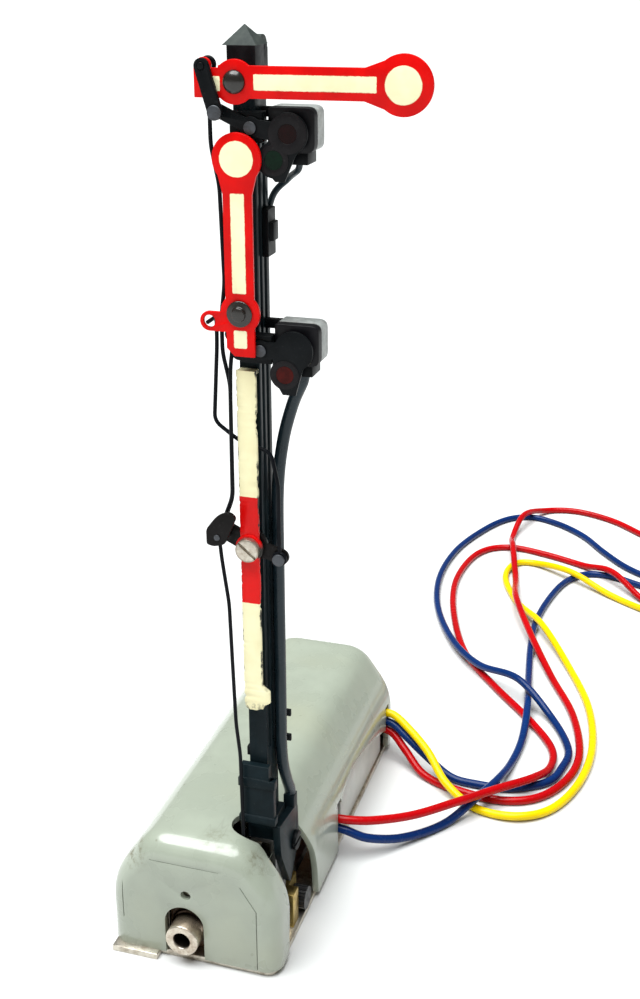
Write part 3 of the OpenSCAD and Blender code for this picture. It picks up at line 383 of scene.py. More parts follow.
def socket_metal():
    p = Paint("socket_nickel")
    patch = p.noise(1.2, 4, 0.65, seed=3)
    c = p.mix(patch.fade(0.42, 0.75), (0.62, 0.56, 0.47), (0.34, 0.26, 0.19))
    rim = p.y.fade(-28.6, -29.0)
    c = p.mix(rim, shade((0.40, 0.32, 0.24), 1.0), c)
    # Painted shade: the inside of the socket's bore is painted near-black.
    dx, dz = p.x + 1.1, p.z - 3.9
    inside = (dx * dx + dz * dz).math("SQRT").fade(1.2, 1.08) * p.y.fade(-29.15, -28.7)
    c = p.mix(inside, c, (0.004, 0.004, 0.005))
    # Painted shade: the socket is painted dark brown behind the cover's front wall, inside the base.
    back_painted_shade = p.y.fade(-27.4, -26.6)
    c = p.mix(back_painted_shade, c, (0.05, 0.03, 0.02))
    return p.set(c, patch.fade(0.3, 0.8, 0.25, 0.45), p.lump(p.noise(0.3, 4), 0.01, 0.5), metal=0.85)


def screw_face():
    p = Paint("screw_nickel")
    turn = p.noise(0.5, 4, 0.6)
    c = p.mix(turn.fade(0.3, 0.75), (0.42, 0.36, 0.29), (0.66, 0.62, 0.54))
    c = p.mix(p.disc(6.8, 54.8, 1.28).abs().fade(0.12, 0.02) * 0.5, c, (0.12, 0.09, 0.06))
    return p.set(c, turn.fade(0.3, 0.8, 0.28, 0.5), p.lump(turn, 0.02, 0.6), metal=0.9)


upper_marks = lambda p: nearest(
    p.box(14.95, 104.8, 6.15, 0.75, 0.12), p.disc(23.7, 104.8, 1.8), p.box(4.9, 104.6, 0.42, 0.7, 0.1)
)
lower_marks = lambda p: nearest(
    p.box(6.8, 88.9, 0.74, 5.1, 0.12), p.disc(6.8, 97.4, 1.78), p.box(6.8, 78.95, 0.72, 0.95, 0.2)
)

LOOKS = {
    "cover_paint": cover_paint(),
    "panel_grey": panel_paint(),
    "nickel": metal("nickel", (0.62, 0.58, 0.50), (0.26, 0.21, 0.15), 0.28),
    "steel": metal("steel", (0.24, 0.24, 0.24), (0.09, 0.08, 0.07), 0.4),
    "mast_paint": enamel("mast_paint", (0.006, 0.012, 0.015), chip=(0.10, 0.11, 0.11),
                         rough=0.36, specular=0.08),
    "head_paint": head_paint(),
    "black_metal": enamel("black_metal", (0.005, 0.006, 0.007), chip=(0.12, 0.10, 0.08),
                          rough=0.38, specular=0.08),
    "wire_black": enamel("wire_black", (0.004, 0.005, 0.007), chip=(0.12, 0.10, 0.08),
                         rough=0.35, size=6, specular=0.08),
    "signal_red": striped("signal_red", upper_marks),
    "board_paint": board_paint(),
    "rivet_dark": enamel("rivet_dark", (0.010, 0.008, 0.006), chip=(0.2, 0.16, 0.11),
                         rough=0.25, dust=0.3, specular=0.6),
    "brass": metal("brass", (0.55, 0.40, 0.14), (0.20, 0.15, 0.05), 0.3),
    "bakelite": plastic("bakelite", (0.10, 0.055, 0.03), rough=0.4),
    "bobbin_plastic": plastic("bobbin_plastic", (0.72, 0.68, 0.55), rough=0.4),
    "copper": winding(),
    "knob_black": plastic("knob_black", (0.010, 0.010, 0.011), rough=0.35),
    "red_lens": glass("red_lens", (0.008, 0.0006, 0.0006)),
    "green_lens": glass("green_lens", (0.0006, 0.010, 0.004)),
    "orange_lens": glass("orange_lens", (0.05, 0.003, 0.002)),
    "lantern_grey": lantern_paint(),
    "bulb_glass": glass("bulb_glass", (0.7, 0.68, 0.6)),
    "lamp_wire": plastic("lamp_wire", (0.010, 0.020, 0.027), rough=0.32, dust=0.1),
    "yellow_pvc": plastic("yellow_pvc", (0.80, 0.57, 0.0), rough=0.24, size=9, specular=0.2, dust=0.03),
    "blue_pvc": plastic("blue_pvc", (0.001, 0.021, 0.115), rough=0.24, size=9, specular=0.22, dust=0.04),
    "red_pvc": plastic("red_pvc", (0.42, 0.0, 0.002), rough=0.24, size=9, specular=0.2, dust=0.03),
}
LOWER_RED = striped("signal_red_lower", lower_marks)
SCREW = screw_face()
SOCKET = socket_metal()
RIM = enamel("rim_black", (0.010, 0.009, 0.010), chip=(0.16, 0.11, 0.07),
             rough=0.4, dust=0.5, chips=0.9, specular=0.1)
ROCKER = enamel("rocker_black", (0.006, 0.005, 0.005), chip=(0.14, 0.10, 0.06),
                rough=0.34, dust=0.5, specular=0.12)
PIN = metal("pin_blued", (0.07, 0.075, 0.085), (0.03, 0.028, 0.026), 0.4, metallic=0.6)
SLOTS = {s["node"]: s["material_slot"] for s in frame["record"]["subparts"]}
BODY = {}
for body_name, nodes in frame["record"]["behaviour"]["bodies"].items():
    for n in nodes:
        BODY[n] = body_name


# ---------------------------------------------------------------- piece helpers
def finish_piece(obj, node, look=None, stands_for=None, angle=35):
    mesh = obj.data
    mesh.materials.clear()
    mesh.materials.append(look or LOOKS[SLOTS[node]])
    if obj.type == "MESH":
        for poly in mesh.polygons:
            poly.use_smooth = True
        mesh.set_sharp_from_angle(angle=math.radians(angle))
    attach(obj, BODY[node])
    if stands_for is not False:
        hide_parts(*(stands_for or [node]))
    return obj


def from_bmesh(bm, name):
    mesh = bpy.data.meshes.new(name)
    bm.to_mesh(mesh)
    bm.free()
    obj = bpy.data.objects.new(name, mesh)
    bpy.context.collection.objects.link(obj)
    return obj


def applied(obj, *modifiers):
    """Adds each (type, settings) modifier and applies them all to the mesh."""
    for kind, settings in modifiers:
        m = obj.modifiers.new(kind, kind)
        for key, v in settings.items():
            setattr(m, key, v)
    dg = bpy.context.evaluated_depsgraph_get()
    mesh = bpy.data.meshes.new_from_object(obj.evaluated_get(dg))
    old = obj.data
    obj.modifiers.clear()
    obj.data = mesh
    bpy.data.meshes.remove(old)
    return obj


def softened(node, width=0.08, segments=2, look=None, angle=35):
    """A copy of a CAD node with its sharp edges rounded."""
    source = frame["nodes"][node]
    bm = bmesh.new()
    bm.from_mesh(source.data)
    bmesh.ops.remove_doubles(bm, verts=bm.verts, dist=1e-6)
    bmesh.ops.dissolve_limit(bm, angle_limit=math.radians(1.5), verts=bm.verts, edges=bm.edges)
    for v in bm.verts:
        v.co = source.matrix_world @ v.co
    obj = from_bmesh(bm, node + "_look")
    applied(obj, ("BEVEL", {
        "width": width * MM, "segments": segments, "limit_method": "ANGLE",
        "angle_limit": math.radians(angle), "use_clamp_overlap": True, "harden_normals": False,
    }))
    return finish_piece(obj, node, look)


def curve_piece(name, splines, radius, resolution=6):
    """A wire curve. Each spline is (points in mm, closed)."""
    data = bpy.data.curves.new(name, "CURVE")
    data.dimensions = "3D"
    data.bevel_depth = radius * MM
    data.bevel_resolution = resolution
    data.use_fill_caps = True
    data.resolution_u = 8
    for pts, closed in splines:
        s = data.splines.new("BEZIER")
        s.bezier_points.add(len(pts) - 1)
        s.use_cyclic_u = closed
        n = len(pts)
        for i, p in enumerate(pts):
            before = pts[(i - 1) % n] if closed else pts[max(0, i - 1)]
            after = pts[(i + 1) % n] if closed else pts[min(n - 1, i + 1)]
            tangent = (Vector(after) - Vector(before)) / 6
            b = s.bezier_points[i]
            b.handle_left_type = b.handle_right_type = "FREE"
            b.co = Vector(p) * MM
            b.handle_left = (Vector(p) - tangent) * MM
            b.handle_right = (Vector(p) + tangent) * MM
    obj = bpy.data.objects.new(name, data)
    bpy.context.collection.objects.link(obj)
    return obj


# ---------------------------------------------------------------- free leads
ROUTES = {
    "yellow_lead": [
        (9.6, 24.05, 7.2), (12, 24, 7.1), (15, 22.5, 5.82), (18.5, 19.5, 4.42), (22, 16, 1.99),
        (27, 13, 0.67), (33, 12.5, 0.84), (37.6, 16.2, 0.64), (40.5, 24, 0.62), (41.2, 34, 0.62),
        (39.2, 46, 0.64), (34.5, 58, 0.75), (28, 70, 2.08), (22, 80, 0.75), (18, 90, 0.64),
        (18.5, 97, 0.63), (22.5, 98.5, 0.76), (30, 94, 1.91), (38, 88.5, 0.77), (45, 84, 0.69),
        (51, 81, 1.3)
    ],
    "rear_blue_lead": [
        (9.6, 24.05, 5.9), (12, 23.8, 5.6), (14.5, 22.6, 4.42), (18, 21, 2.62), (22, 19.5, 0.82),
        (26, 19, 0.64), (31, 19.5, 0.62), (35.9, 22.6, 0.62), (37.5, 27, 0.62), (37.7, 32.5, 0.65),
        (34, 40.4, 0.95), (27.6, 46, 3.86), (20, 52, 2.09), (13.5, 61, 1.25), (8, 74, 0.68),
        (5.5, 87, 0.63), (6, 100, 0.62), (9, 111, 0.62), (13, 119, 0.62), (18, 122, 0.62),
        (24, 120, 0.62), (30, 115, 0.62), (35, 108, 0.62), (40, 102, 0.62), (45, 98.5, 0.69),
        (51, 97, 1.3)
    ],
    "rear_red_lead": [
        (9.6, 24.05, 4.6), (12, 23.6, 4.1), (14.5, 21.8, 2.62), (18, 19, 0.8), (23, 16.8, 0.65),
        (30, 16, 0.62), (35.3, 18.4, 0.62), (38.7, 24.4, 0.62), (39.5, 32, 0.62), (37, 43, 0.63),
        (32, 54, 0.77), (26.5, 66, 2.1), (22, 78, 2.82), (20, 90, 0.68), (17.5, 101, 2.79),
        (16, 110, 0.62), (17, 118, 2.64), (20.5, 126, 0.86), (27, 128, 0.64), (35, 125, 0.62),
        (42, 119, 0.62), (48, 114, 0.69), (53, 111, 1.3)
    ],
    "front_red_lead": [
        (9.6, -1.85, 5.7), (12, -1.8, 5.6), (15.5, 0, 5.02), (20, 4.5, 3.82), (25, 10, 3.36),
        (29.8, 15.6, 2.86), (34, 20.8, 2.15), (35.8, 26.4, 0.77), (35.2, 32, 0.63), (30.8, 39, 0.62),
        (23.4, 48.2, 0.62), (16.5, 58, 0.62), (11.5, 72, 0.62), (9, 85, 0.62), (9.5, 96, 0.62),
        (12, 102.5, 0.62), (17, 105, 0.62), (24, 103.5, 0.63), (32, 100, 0.8), (38, 95, 2.44),
        (45, 87.5, 0.65), (51, 84.5, 1.3)
    ],
    "front_blue_lead": [
        (9.6, -1.85, 4.3), (12, -2, 4), (15, -1.2, 2.82), (19, 2.5, 1.22), (23.5, 8, 0.65),
        (27, 13.5, 2.09), (29, 19, 1.93), (30, 26, 0.71), (30.5, 33, 0.83), (30, 41, 1.98),
        (28.5, 52, 0.76), (27, 64, 0.63), (26.5, 74, 0.62), (27.5, 84, 0.62), (29.5, 92, 0.62),
        (33, 96.5, 0.62), (38, 96.8, 0.62), (44, 94, 0.69), (51, 91, 1.3)
    ],
}
LEAD_R = 0.6


def lathe(profile, origin, along, steps=40):
    """A turned solid. profile is (distance along, radius) in mm."""
    along = Vector(along).normalized()
    side = along.cross(Vector((0, 0, 1) if abs(along.z) < 0.9 else (0, 1, 0))).normalized()
    rise = side.cross(along)
    bm = bmesh.new()
    rings = []
    for d, r in profile:
        centre = Vector(origin) + along * d
        if r < 1e-6:
            rings.append([bm.verts.new(centre * MM)])
        else:
            rings.append([
                bm.verts.new((centre + side * r * math.cos(2 * math.pi * k / steps)
                              + rise * r * math.sin(2 * math.pi * k / steps)) * MM)
                for k in range(steps)
            ])
    for a, b in zip(rings, rings[1:]):
        for k in range(steps):
            j = (k + 1) % steps
            if len(a) == 1 and len(b) == 1:
                continue
            if len(a) == 1:
                bm.faces.new((a[0], b[j], b[k]))
            elif len(b) == 1:
                bm.faces.new((a[k], a[j], b[0]))
            else:
                bm.faces.new((a[k], a[j], b[j], b[k]))
    bmesh.ops.recalc_face_normals(bm, faces=bm.faces)
    return bm


plug_profile = [(0.0, 0.0), (0.0, 0.78), (0.15, 0.92), (1.6, 1.0)]
for k in range(6):
    d = 1.9 + k * 0.62
    plug_profile += [(d, 1.0), (d + 0.1, 1.26), (d + 0.34, 1.26), (d + 0.44, 1.0)]
plug_profile += [(5.9, 1.0), (6.2, 1.27), (8.7, 1.27), (8.95, 1.12), (8.97, 0.8), (9.0, 0.0)]
tip_profile = [
    (8.9, 0.0), (8.9, 0.76), (9.4, 0.78), (9.6, 0.72), (9.8, 0.78), (13.1, 0.79), (13.6, 0.7), (13.9, 0.42),
    (13.99, 0.0)
]
LEAD_NODES = {
    "yellow_lead": ("yellow_pvc", 0.1598), "rear_blue_lead": ("blue_pvc", 0.1884),
    "rear_red_lead": ("red_pvc", 0.1828), "front_red_lead": ("red_pvc", 0.1716),
    "front_blue_lead": ("blue_pvc", 0.1304),
}
for node, (slot_name, length) in LEAD_NODES.items():
    route = ROUTES[node]
    lead = curve_piece(node + "_curve", [(route, False)], LEAD_R)
    finish_piece(lead, node)
    last, before = Vector(route[-1]), Vector(route[-2])
    run = Vector((last.x - before.x, last.y - before.y, 0)).normalized()
    plug = finish_piece(
        from_bmesh(lathe(plug_profile, last, run), node + "_plug"), "lead_plugs", LOOKS[slot_name]
    )
    tip = finish_piece(
        from_bmesh(lathe(tip_profile, last, run), node + "_plug_tip"), "lead_plugs", LOOKS["nickel"]
    )

# ---------------------------------------------------------------- base cover
HALF_W, HALF_L, BASE_H, SHOULDER, TOP_W, WALL = 11.0, 28.0, 17.0, 10.0, 6.2, 0.8


def rounded_profile():
    """Half of the cover's cross-section, from the bottom of the side wall to the middle of the top."""
    corners = [((HALF_W, SHOULDER), 3.0), ((TOP_W, BASE_H), 2.5)]
    pts = [(HALF_W, z) for z in (0.8, 2.4, 4.2, 5.8)]
    chain = [Vector((HALF_W, 0.8)), Vector((HALF_W, SHOULDER)), Vector((TOP_W, BASE_H)), Vector((0, BASE_H))]
    for i, (corner, cut) in enumerate(corners):
        c = Vector(corner)
        a = c + (chain[i] - c).normalized() * cut
        b = c + (chain[i + 2] - c).normalized() * cut
        for k in range(9):
            t = k / 8
            q = a * (1 - t) ** 2 + c * 2 * t * (1 - t) + b * t * t
            pts.append((q.x, q.y))
    pts += [(3.0, BASE_H), (1.5, BASE_H), (0.0, BASE_H)]
    return pts


def cover_shell():
    half = rounded_profile()
    ring = half + [(-x, z) for x, z in reversed(half[:-1])]
    corner_r, edge_r = 2.1, 2.9
    stations = []
    for k in range(11):
        stations.append(edge_r * (1 - math.cos(math.radians(90 * k / 10))))
    stations += [corner_r * (1 - math.cos(math.radians(90 * k / 8))) for k in range(1, 8)]
    stations = sorted(set(round(s, 4) for s in stations))
    stations = [s for i, s in enumerate(stations) if i == 0 or s - stations[i - 1] > 0.02]
    places = [-HALF_L + s for s in stations]
    places += [-24 + 2 * k for k in range(25)]
    places += [HALF_L - s for s in reversed(stations)]
    bm = bmesh.new()
    rings = []
    for y in places:
        e = HALF_L - abs(y)
        in_w = corner_r - math.sqrt(max(0, corner_r**2 - max(0, corner_r - e) ** 2)) if e < corner_r else 0
        in_h = edge_r - math.sqrt(max(0, edge_r**2 - max(0, edge_r - e) ** 2)) if e < edge_r else 0
        rings.append([
            bm.verts.new(Vector((x * (HALF_W - in_w) / HALF_W, y, z - in_h * (z / BASE_H) ** 2)) * MM)
            for x, z in ring
        ])
    for a, b in zip(rings, rings[1:]):
        for k in range(len(ring) - 1):
            bm.faces.new((a[k], b[k], b[k + 1], a[k + 1]))
    for end in (rings[0], rings[-1]):
        bm.faces.new(end)
    bmesh.ops.recalc_face_normals(bm, faces=bm.faces)
    return from_bmesh(bm, "base_cover_look")


def prism(points, low, high, axis, name="cutter"):
    """A solid with an outline in the two other axes."""
    bm = bmesh.new()
    put = {
        "x": lambda a, b, t: (t, a, b), "y": lambda a, b, t: (a, t, b), "z": lambda a, b, t: (a, b, t)
    }[axis]
    ends = [[bm.verts.new(Vector(put(a, b, t)) * MM) for a, b in points] for t in (low, high)]
    n = len(points)
    for k in range(n):
        j = (k + 1) % n
        bm.faces.new((ends[0][k], ends[0][j], ends[1][j], ends[1][k]))
    bm.faces.new(ends[0])
    bm.faces.new(ends[1])
    bmesh.ops.recalc_face_normals(bm, faces=bm.faces)
    return from_bmesh(bm, name)


def circle_points(x, z, r, steps=40, start=0, end=360):
    return [
        (x + r * math.cos(math.radians(start + (end - start) * k / steps)),
         z + r * math.sin(math.radians(start + (end - start) * k / steps)))
        for k in range(steps + (0 if end - start == 360 else 1))
    ]


def rect(a, b, c, d):
    return [(a, b), (c, b), (c, d), (a, d)]


cover = cover_shell()
applied(cover, ("SOLIDIFY", {"thickness": WALL * MM, "offset": -1, "use_even_offset": True}))
bezier = [
    (
        (1 - t) ** 2 * -2.5 + 2 * t * (1 - t) * 4 + t * t * 24.7,
        (1 - t) ** 2 * 6.5 + 2 * t * (1 - t) * 13 + t * t * 4
    )
    for t in (k / 16 for k in range(17))
]
cutters = [
    prism([(-2.5, 0)] + bezier + [(24.7, 0)], 8, 12, "x"),
    prism(rect(-2.7, 2.2, -1.0, 8.4), 8, 12, "x"),
    prism(rect(23.2, 2.2, 24.9, 8.4), 8, 12, "x"),
    prism(circle_points(5.4, -21.5, 2.3), 12, 18, "z"),
    prism(rect(5, -23.2, 12, -17.2), 13, 18, "z"),
    prism([(-23.2, 18), (-23.4, 10.5), (-24, 0), (-11.6, 0), (-12.2, 5), (-13.9, 10.7), (-14.6, 14.2),
           (-17.2, 18)], 8, 13, "x"),
    prism(circle_points(-0.8, 9.8, 0.65), -29, -26, "y"),
    prism(circle_points(-1.15, 5.4, 2.55, 30, 0, 180) + [(-3.7, 0), (1.4, 0)], -29, -26, "y"),
    prism(rect(-9.27, 4.8, -9.15, 10.1), -29, -27.75, "y"),
    prism(rect(-12, 10.0, -9.15, 10.1), -29, -27.75, "y"),
    prism(rect(8.2, 0, 8.32, 9.4), -29, -27.8, "y"),
    prism([(8.26, 9.3), (8.36, 9.4), (6.3, 12.6), (6.22, 12.52)], -29, -27.9, "y"),
    prism(rect(-5.4, 14.02, 3.6, 14.1), -29, -27.86, "y"),
]
for cutter in cutters:
    m = cover.modifiers.new("cut", "BOOLEAN")
    m.object = cutter
    m.operation = "DIFFERENCE"
    m.solver = "EXACT"
applied(cover)
for cutter in cutters:
    bpy.data.objects.remove(cutter)
applied(cover, ("BEVEL", {"width": 0.07 * MM, "segments": 2, "limit_method": "ANGLE",
                          "angle_limit": math.radians(50), "use_clamp_overlap": True}))
finish_piece(cover, "base_cover", angle=40)

# ---------------------------------------------------------------- operating wires
ARM_Y, BOARD_Y, SPEC_Y = -24.4, -23.2, -23.7
UPPER_ROD_Y, SPEC_ROD_Y, DRIVE_ROD_Y, GAP_ROD_Y, SPEC_EYE_Y = -22.95, -23.5, -24.05, -22.35, -23.1
WIRE_R, EYE_R = 0.22, 0.6464
TAIL, CRANK, LOWER_CRANK, LUG, ROCKER_END = (3.6, 106.3), (3.6, 56.3), (5.5, 79.2), (3.4, 80.7), (10.2, 53.8)


def bent(points, cut=0.9):
    """A wire's route with each bend rounded."""
    pts = [Vector(p) for p in points]
    out = [pts[0]]
    for a, b, c in zip(pts, pts[1:], pts[2:]):
        k1 = min(cut, (a - b).length * 0.45)
        k2 = min(cut, (c - b).length * 0.45)
        start, stop = b + (a - b).normalized() * k1, b + (c - b).normalized() * k2
        for i in range(7):
            t = i / 6
            out.append(start * (1 - t) ** 2 + b * 2 * t * (1 - t) + stop * t * t)
    return out + [pts[-1]]


def wire_piece(node, points, eyes):
    data = bpy.data.curves.new(node + "_wire", "CURVE")
    data.dimensions = "3D"
    data.bevel_depth = WIRE_R * MM
    data.bevel_resolution = 5
    data.use_fill_caps = True
    runs = [(bent(points), False)]
    for (x, z), y in eyes:
        ring = [
            Vector((x + EYE_R * math.cos(math.radians(a)), y, z + EYE_R * math.sin(math.radians(a))))
            for a in range(0, 360, 10)
        ]
        runs.append((ring, True))
    for pts, closed in runs:
        spline = data.splines.new("POLY")
        spline.points.add(len(pts) - 1)
        spline.use_cyclic_u = closed
        spline.use_smooth = True
        for point, v in zip(spline.points, pts):
            point.co = (*(v * MM), 1)
    obj = bpy.data.objects.new(node + "_wire", data)
    bpy.context.collection.objects.link(obj)
    return finish_piece(obj, node)


wire_piece("upper_arm_rod", [
    (TAIL[0], UPPER_ROD_Y, TAIL[1] - EYE_R), (TAIL[0], UPPER_ROD_Y, 98.5), (TAIL[0] + 0.8, UPPER_ROD_Y, 94.5),
    (TAIL[0] + 1.05, UPPER_ROD_Y, 84.5), (TAIL[0] + 0.6, UPPER_ROD_Y, 81), (TAIL[0] + 0.6, UPPER_ROD_Y, 77),
    (TAIL[0] + 1.35, UPPER_ROD_Y, 73.5), (TAIL[0] + 1.3, UPPER_ROD_Y, 60.5),
    (CRANK[0] + 0.6, UPPER_ROD_Y, 58.6), (CRANK[0], UPPER_ROD_Y, CRANK[1] + EYE_R)
], [(TAIL, UPPER_ROD_Y), (CRANK, UPPER_ROD_Y)])
wire_piece("lower_arm_rod", [
    (LUG[0], ARM_Y - 0.45, LUG[1]), (LUG[0], GAP_ROD_Y, LUG[1]), (LUG[0] - 0.05, GAP_ROD_Y, 77.5),
    (LUG[0] - 0.6, GAP_ROD_Y, 69), (5.6, GAP_ROD_Y, 67), (9.2, GAP_ROD_Y, 66),
    (ROCKER_END[0], UPPER_ROD_Y, 62.4), (ROCKER_END[0], UPPER_ROD_Y, ROCKER_END[1] + EYE_R)
], [(ROCKER_END, UPPER_ROD_Y)])
wire_piece("spectacle_rod", [
    (LOWER_CRANK[0], SPEC_EYE_Y, LOWER_CRANK[1] - EYE_R), (LOWER_CRANK[0] - 0.15, SPEC_EYE_Y, 77.4),
    (LOWER_CRANK[0] - 0.25, SPEC_ROD_Y, 75.6), (LOWER_CRANK[0] - 0.35, SPEC_ROD_Y, 72),
    (LOWER_CRANK[0] - 0.45, SPEC_ROD_Y, 60.8), (CRANK[0] + 0.6, SPEC_ROD_Y, 58.6),
    (CRANK[0], SPEC_ROD_Y, CRANK[1] + EYE_R)
], [(LOWER_CRANK, SPEC_EYE_Y), (CRANK, SPEC_ROD_Y)])
wire_piece("drive_rod", [
    (CRANK[0], DRIVE_ROD_Y, CRANK[1] - EYE_R), (CRANK[0] + 0.2, DRIVE_ROD_Y, 53.4),
    (CRANK[0] + 0.9, DRIVE_ROD_Y, 48), (CRANK[0] + 1.1, DRIVE_ROD_Y, 40), (CRANK[0] + 1.3, DRIVE_ROD_Y, 32.5),
    (5.1, -23.5, 28), (5.2, -23.5, 18), (5.2, -23.5, 5), (1.9, -23.5, 5)
], [(CRANK, DRIVE_ROD_Y)])

LAMP_ROUTE = [
    (12.3, -20.3, 74.7), (12.1, -20.1, 73.6), (10.7, -19.3, 70.6), (9.4, -18.9, 66), (8.7, -18.84, 60),
    (8.64, -18.84, 50), (8.64, -18.84, 42), (8.64, -18.84, 35), (8.64, -18.84, 31), (8.64, -18.84, 27),
    (8.65, -18.3, 24), (8.67, -17.2, 21.4), (8.7, -16.2, 19.5), (8.7, -16, 18.7)
]
UPPER_LAMP_ROUTE = [
    (11.9, -19.7, 96.65), (11.6, -19.3, 95.8), (10, -17.8, 94.6), (8, -17.1, 92.5), (7, -17.1, 88),
    (6.8, -17.4, 84), (6.7, -17.66, 78), (6.7, -17.68, 66), (6.7, -17.68, 54), (6.7, -17.68, 42),
    (6.7, -17.68, 30), (6.7, -17.68, 22), (6.7, -17.68, 18.26)
]
finish_piece(curve_piece("lamp_lead_curve", [(LAMP_ROUTE, False)], 0.7), "lamp_lead")
finish_piece(curve_piece("upper_lamp_lead", [(UPPER_LAMP_ROUTE, False)], 0.35), "lamp_lead", stands_for=False)

# ---------------------------------------------------------------- turned details
FRONT = (0, -1, 0)
MAST_X, UPPER_Z, ROCKER_Z = 6.8, 104.8, 54.8
rivet_dome = [(-4.3, 0), (-4.3, 0.5), (0.0, 0.5), (0.02, 1.15), (0.12, 1.15), (0.22, 1.1), (0.4, 0.98),
              (0.55, 0.78), (0.66, 0.5), (0.71, 0.25), (0.72, 0.0)]
finish_piece(
    from_bmesh(lathe(rivet_dome, (MAST_X, ARM_Y - 0.02, UPPER_Z), FRONT, 48), "upper_arm_rivet_look"),
    "upper_arm_rivet", angle=50
)


def rim(name, node, x, z, r_in, r_out, high, look):
    profile = [(-0.02, r_in), (high * 0.6, r_in), (high, r_in + 0.08), (high, r_out - 0.1),
               (high * 0.6, r_out), (-0.02, r_out), (-0.02, r_in)]
    bm = lathe(profile, (x, SPEC_Y, z), FRONT, 56)
    bmesh.ops.remove_doubles(bm, verts=bm.verts, dist=1e-7)
    bmesh.ops.recalc_face_normals(bm, faces=bm.faces)
    return finish_piece(from_bmesh(bm, name), node, look, stands_for=False)


# ---------------------------------------------------------------- painted board with chipped edges
def board():
    bm = bmesh.new()
    rings = []
    steps = 330
    for k in range(steps + 1):
        z = 34.2 + 41.0 * k / steps
        n1 = noise.noise(Vector((z * 0.42, 3.1, 0.4)))
        n2 = noise.noise(Vector((z * 2.3, 7.7, 1.9)))
        bite = max(0.0, n1 * 0.5 + n2 * 0.22 - 0.05)
        band = 1 - min(1, max(0, (abs(z - 54.4) - 5.9) / 0.6))
        right_x = 7.9 - min(0.62, bite) * (1 - 0.75 * band)
        left_x = 5.7 + max(0.0, noise.noise(Vector((z * 2.3, 1.3, 8.0))) - 0.15) * 0.3
        curl = min(1, max(0, (z - 34.8) / 0.5)) * min(1, max(0, (37.5 - z) / 0.7))
        right_x = right_x * (1 - curl) + 8.8 * curl
        foot = math.sqrt(max(0.0, 1 - (1 - min(1.0, (z - 34.2) / 1.0)) ** 2))
        mid = 6.9
        right_x = mid + (right_x - mid) * (0.35 + 0.65 * foot)
        left_x = mid + (left_x - mid) * (0.55 + 0.45 * foot)
        front = BOARD_Y + 0.02 * noise.noise(Vector((z, 2, 2))) + 0.02
        rings.append([
            bm.verts.new(Vector(q) * MM) for q in (
                (left_x, front + 0.07, z), (left_x + 0.08, front, z), (right_x - 0.08, front, z),
                (right_x, front + 0.07, z), (right_x, BOARD_Y + 0.4, z), (left_x, BOARD_Y + 0.4, z)
            )
        ])
    for a, b in zip(rings, rings[1:]):
        for k in range(6):
            j = (k + 1) % 6
            bm.faces.new((a[k], a[j], b[j], b[k]))
    bm.faces.new(rings[0])
    bm.faces.new(rings[-1])
    bmesh.ops.recalc_face_normals(bm, faces=bm.faces)
    return from_bmesh(bm, "mast_board_look")


finish_piece(board(), "mast_board", angle=50)
boss = [(-0.3, 0), (-0.3, 1.5), (0.1, 1.6), (0.2, 1.56), (0.25, 1.45), (0.25, 0)]
finish_piece(
    from_bmesh(lathe(boss, (MAST_X, BOARD_Y, ROCKER_Z), FRONT, 48), "mast_board_boss"), "mast_board",
    stands_for=False
)
for name, z_low, z_high in (("mast_board_top", 74.75, 75.2), ("mast_board_foot", 34.2, 34.65)):
    fold = applied(
        prism(rect(5.75, z_low, 7.85, z_high), BOARD_Y + 0.3, -21.9, "y", name),
        ("BEVEL", {"width": 0.1 * MM, "segments": 2, "limit_method": "ANGLE"})
    )
    finish_piece(fold, "mast_board", stands_for=False)

# ---------------------------------------------------------------- CAD nodes with rounded edges
ROUNDED = {
    "base_plate": 0.12, "side_panel": 0.1, "socket_insulator": 0.15,
    "front_bracket": 0.1, "cover_screw": 0.08, "terminal_block": 0.2, "mast_post": 0.12, "mast_foot": 0.16,
    "foot_screw": 0.1, "mast": 0.12, "mast_head": 0.12, "hoist_bracket": 0.12, "control_box": 0.14,
    "mast_clips": 0.12, "upper_arm": 0.05, "tail_pin": 0.08, "tail_link": 0.12, "upper_spectacle": 0.06,
    "lower_spectacle": 0.06, "crank_pin": 0.06, "lower_arm_screw": 0.12, "lantern_brackets": 0.1,
    "upper_lantern": 0.12, "lower_lantern": 0.12, "terminal_board": 0.1, "coil_yoke": 0.1,
    "lever_bracket": 0.08, "drive_lever": 0.06,
}
for node, width in ROUNDED.items():
    softened(node, width)
softened("lower_arm", 0.05, look=LOWER_RED)
softened("rocker_screw", 0.12, look=SCREW)
softened("plug_socket", 0.15, look=SOCKET)
softened("rocker", 0.07, look=ROCKER)
softened("rocker_pins", 0.06, look=PIN)
softened("link_rivet", 0.12, look=PIN)
softened("spectacle_pins", 0.1, look=PIN)
rim("upper_red_rim", "upper_spectacle", 11.971, 99.925, 0.97, 1.98, 0.13, RIM)
rim("upper_green_rim", "upper_spectacle", 10.501, 97.327, 0.97, 1.55, 0.1, RIM)
rim("lower_lens_rim", "lower_spectacle", 11.375, 75.291, 0.97, 1.55, 0.1, RIM)
for node, obj in frame["nodes"].items():
    if obj.hide_render:
        continue
    obj.data.materials.clear()
    obj.data.materials.append(LOOKS[SLOTS[node]])

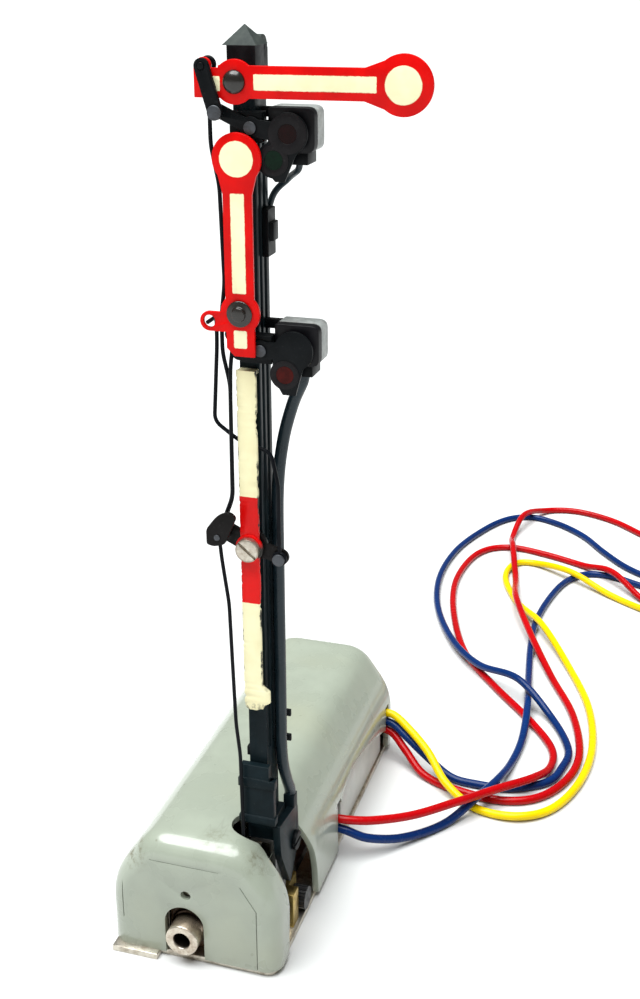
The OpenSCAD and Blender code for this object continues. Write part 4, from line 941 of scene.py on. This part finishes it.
# ---------------------------------------------------------------- stage
def plane(name, size, z):
    bm = bmesh.new()
    bmesh.ops.create_grid(bm, x_segments=1, y_segments=1, size=size)
    for v in bm.verts:
        v.co.z = z
    return from_bmesh(bm, name)


FLOOR_HALF = 15
floor = plane("floor", FLOOR_HALF, 0)
paper = Paint("paper")
paper.set(paper.mix(paper.noise(60, 2), (0.63, 0.63, 0.63), (0.65, 0.65, 0.65)), 1.0, specular=0.0)
floor.data.materials.append(paper.mat)


def area_light(name, at, aim, size, power, tint=(1, 1, 1)):
    data = bpy.data.lights.new(name, "AREA")
    data.shape = "RECTANGLE"
    data.size, data.size_y = size
    data.energy = power
    data.color = tint
    obj = bpy.data.objects.new(name, data)
    obj.location = Vector(at)
    obj.rotation_euler = (Vector(aim) - Vector(at)).to_track_quat("-Z", "Y").to_euler()
    bpy.context.collection.objects.link(obj)


KEY_POWER, SUN_POWER, WORLD_LIGHT = 0.9, 5.7, 0.24
area_light("key", (-0.32, -0.30, 0.78), (0.0, 0.0, 0.03), (0.22, 0.22), KEY_POWER)
sun_data = bpy.data.lights.new("overhead", "SUN")
sun_data.energy = SUN_POWER
sun_data.color = (0.97, 1.0, 1.0)
sun_data.angle = 1.0
sun = bpy.data.objects.new("overhead", sun_data)
sun.rotation_euler = Vector((-0.12, -0.16, 0.95)).to_track_quat("Z", "Y").to_euler()
bpy.context.collection.objects.link(sun)
# The camera sees the world as plain white; everything else is lit by a dimmer one.
world = bpy.data.worlds.new("studio")
world.use_nodes = True
tree = world.node_tree
dim = tree.nodes["Background"]
dim.inputs[0].default_value = (1, 0.99, 0.94, 1)
dim.inputs[1].default_value = WORLD_LIGHT
white = tree.nodes.new("ShaderNodeBackground")
white.inputs[0].default_value = (1, 1, 1, 1)
seen = tree.nodes.new("ShaderNodeLightPath")
pick = tree.nodes.new("ShaderNodeMixShader")
tree.links.new(seen.outputs["Is Camera Ray"], pick.inputs[0])
tree.links.new(dim.outputs[0], pick.inputs[1])
tree.links.new(white.outputs[0], pick.inputs[2])
tree.links.new(pick.outputs[0], tree.nodes["World Output"].inputs[0])
bpy.context.scene.world = world
bpy.context.scene.view_settings.view_transform = "Standard"
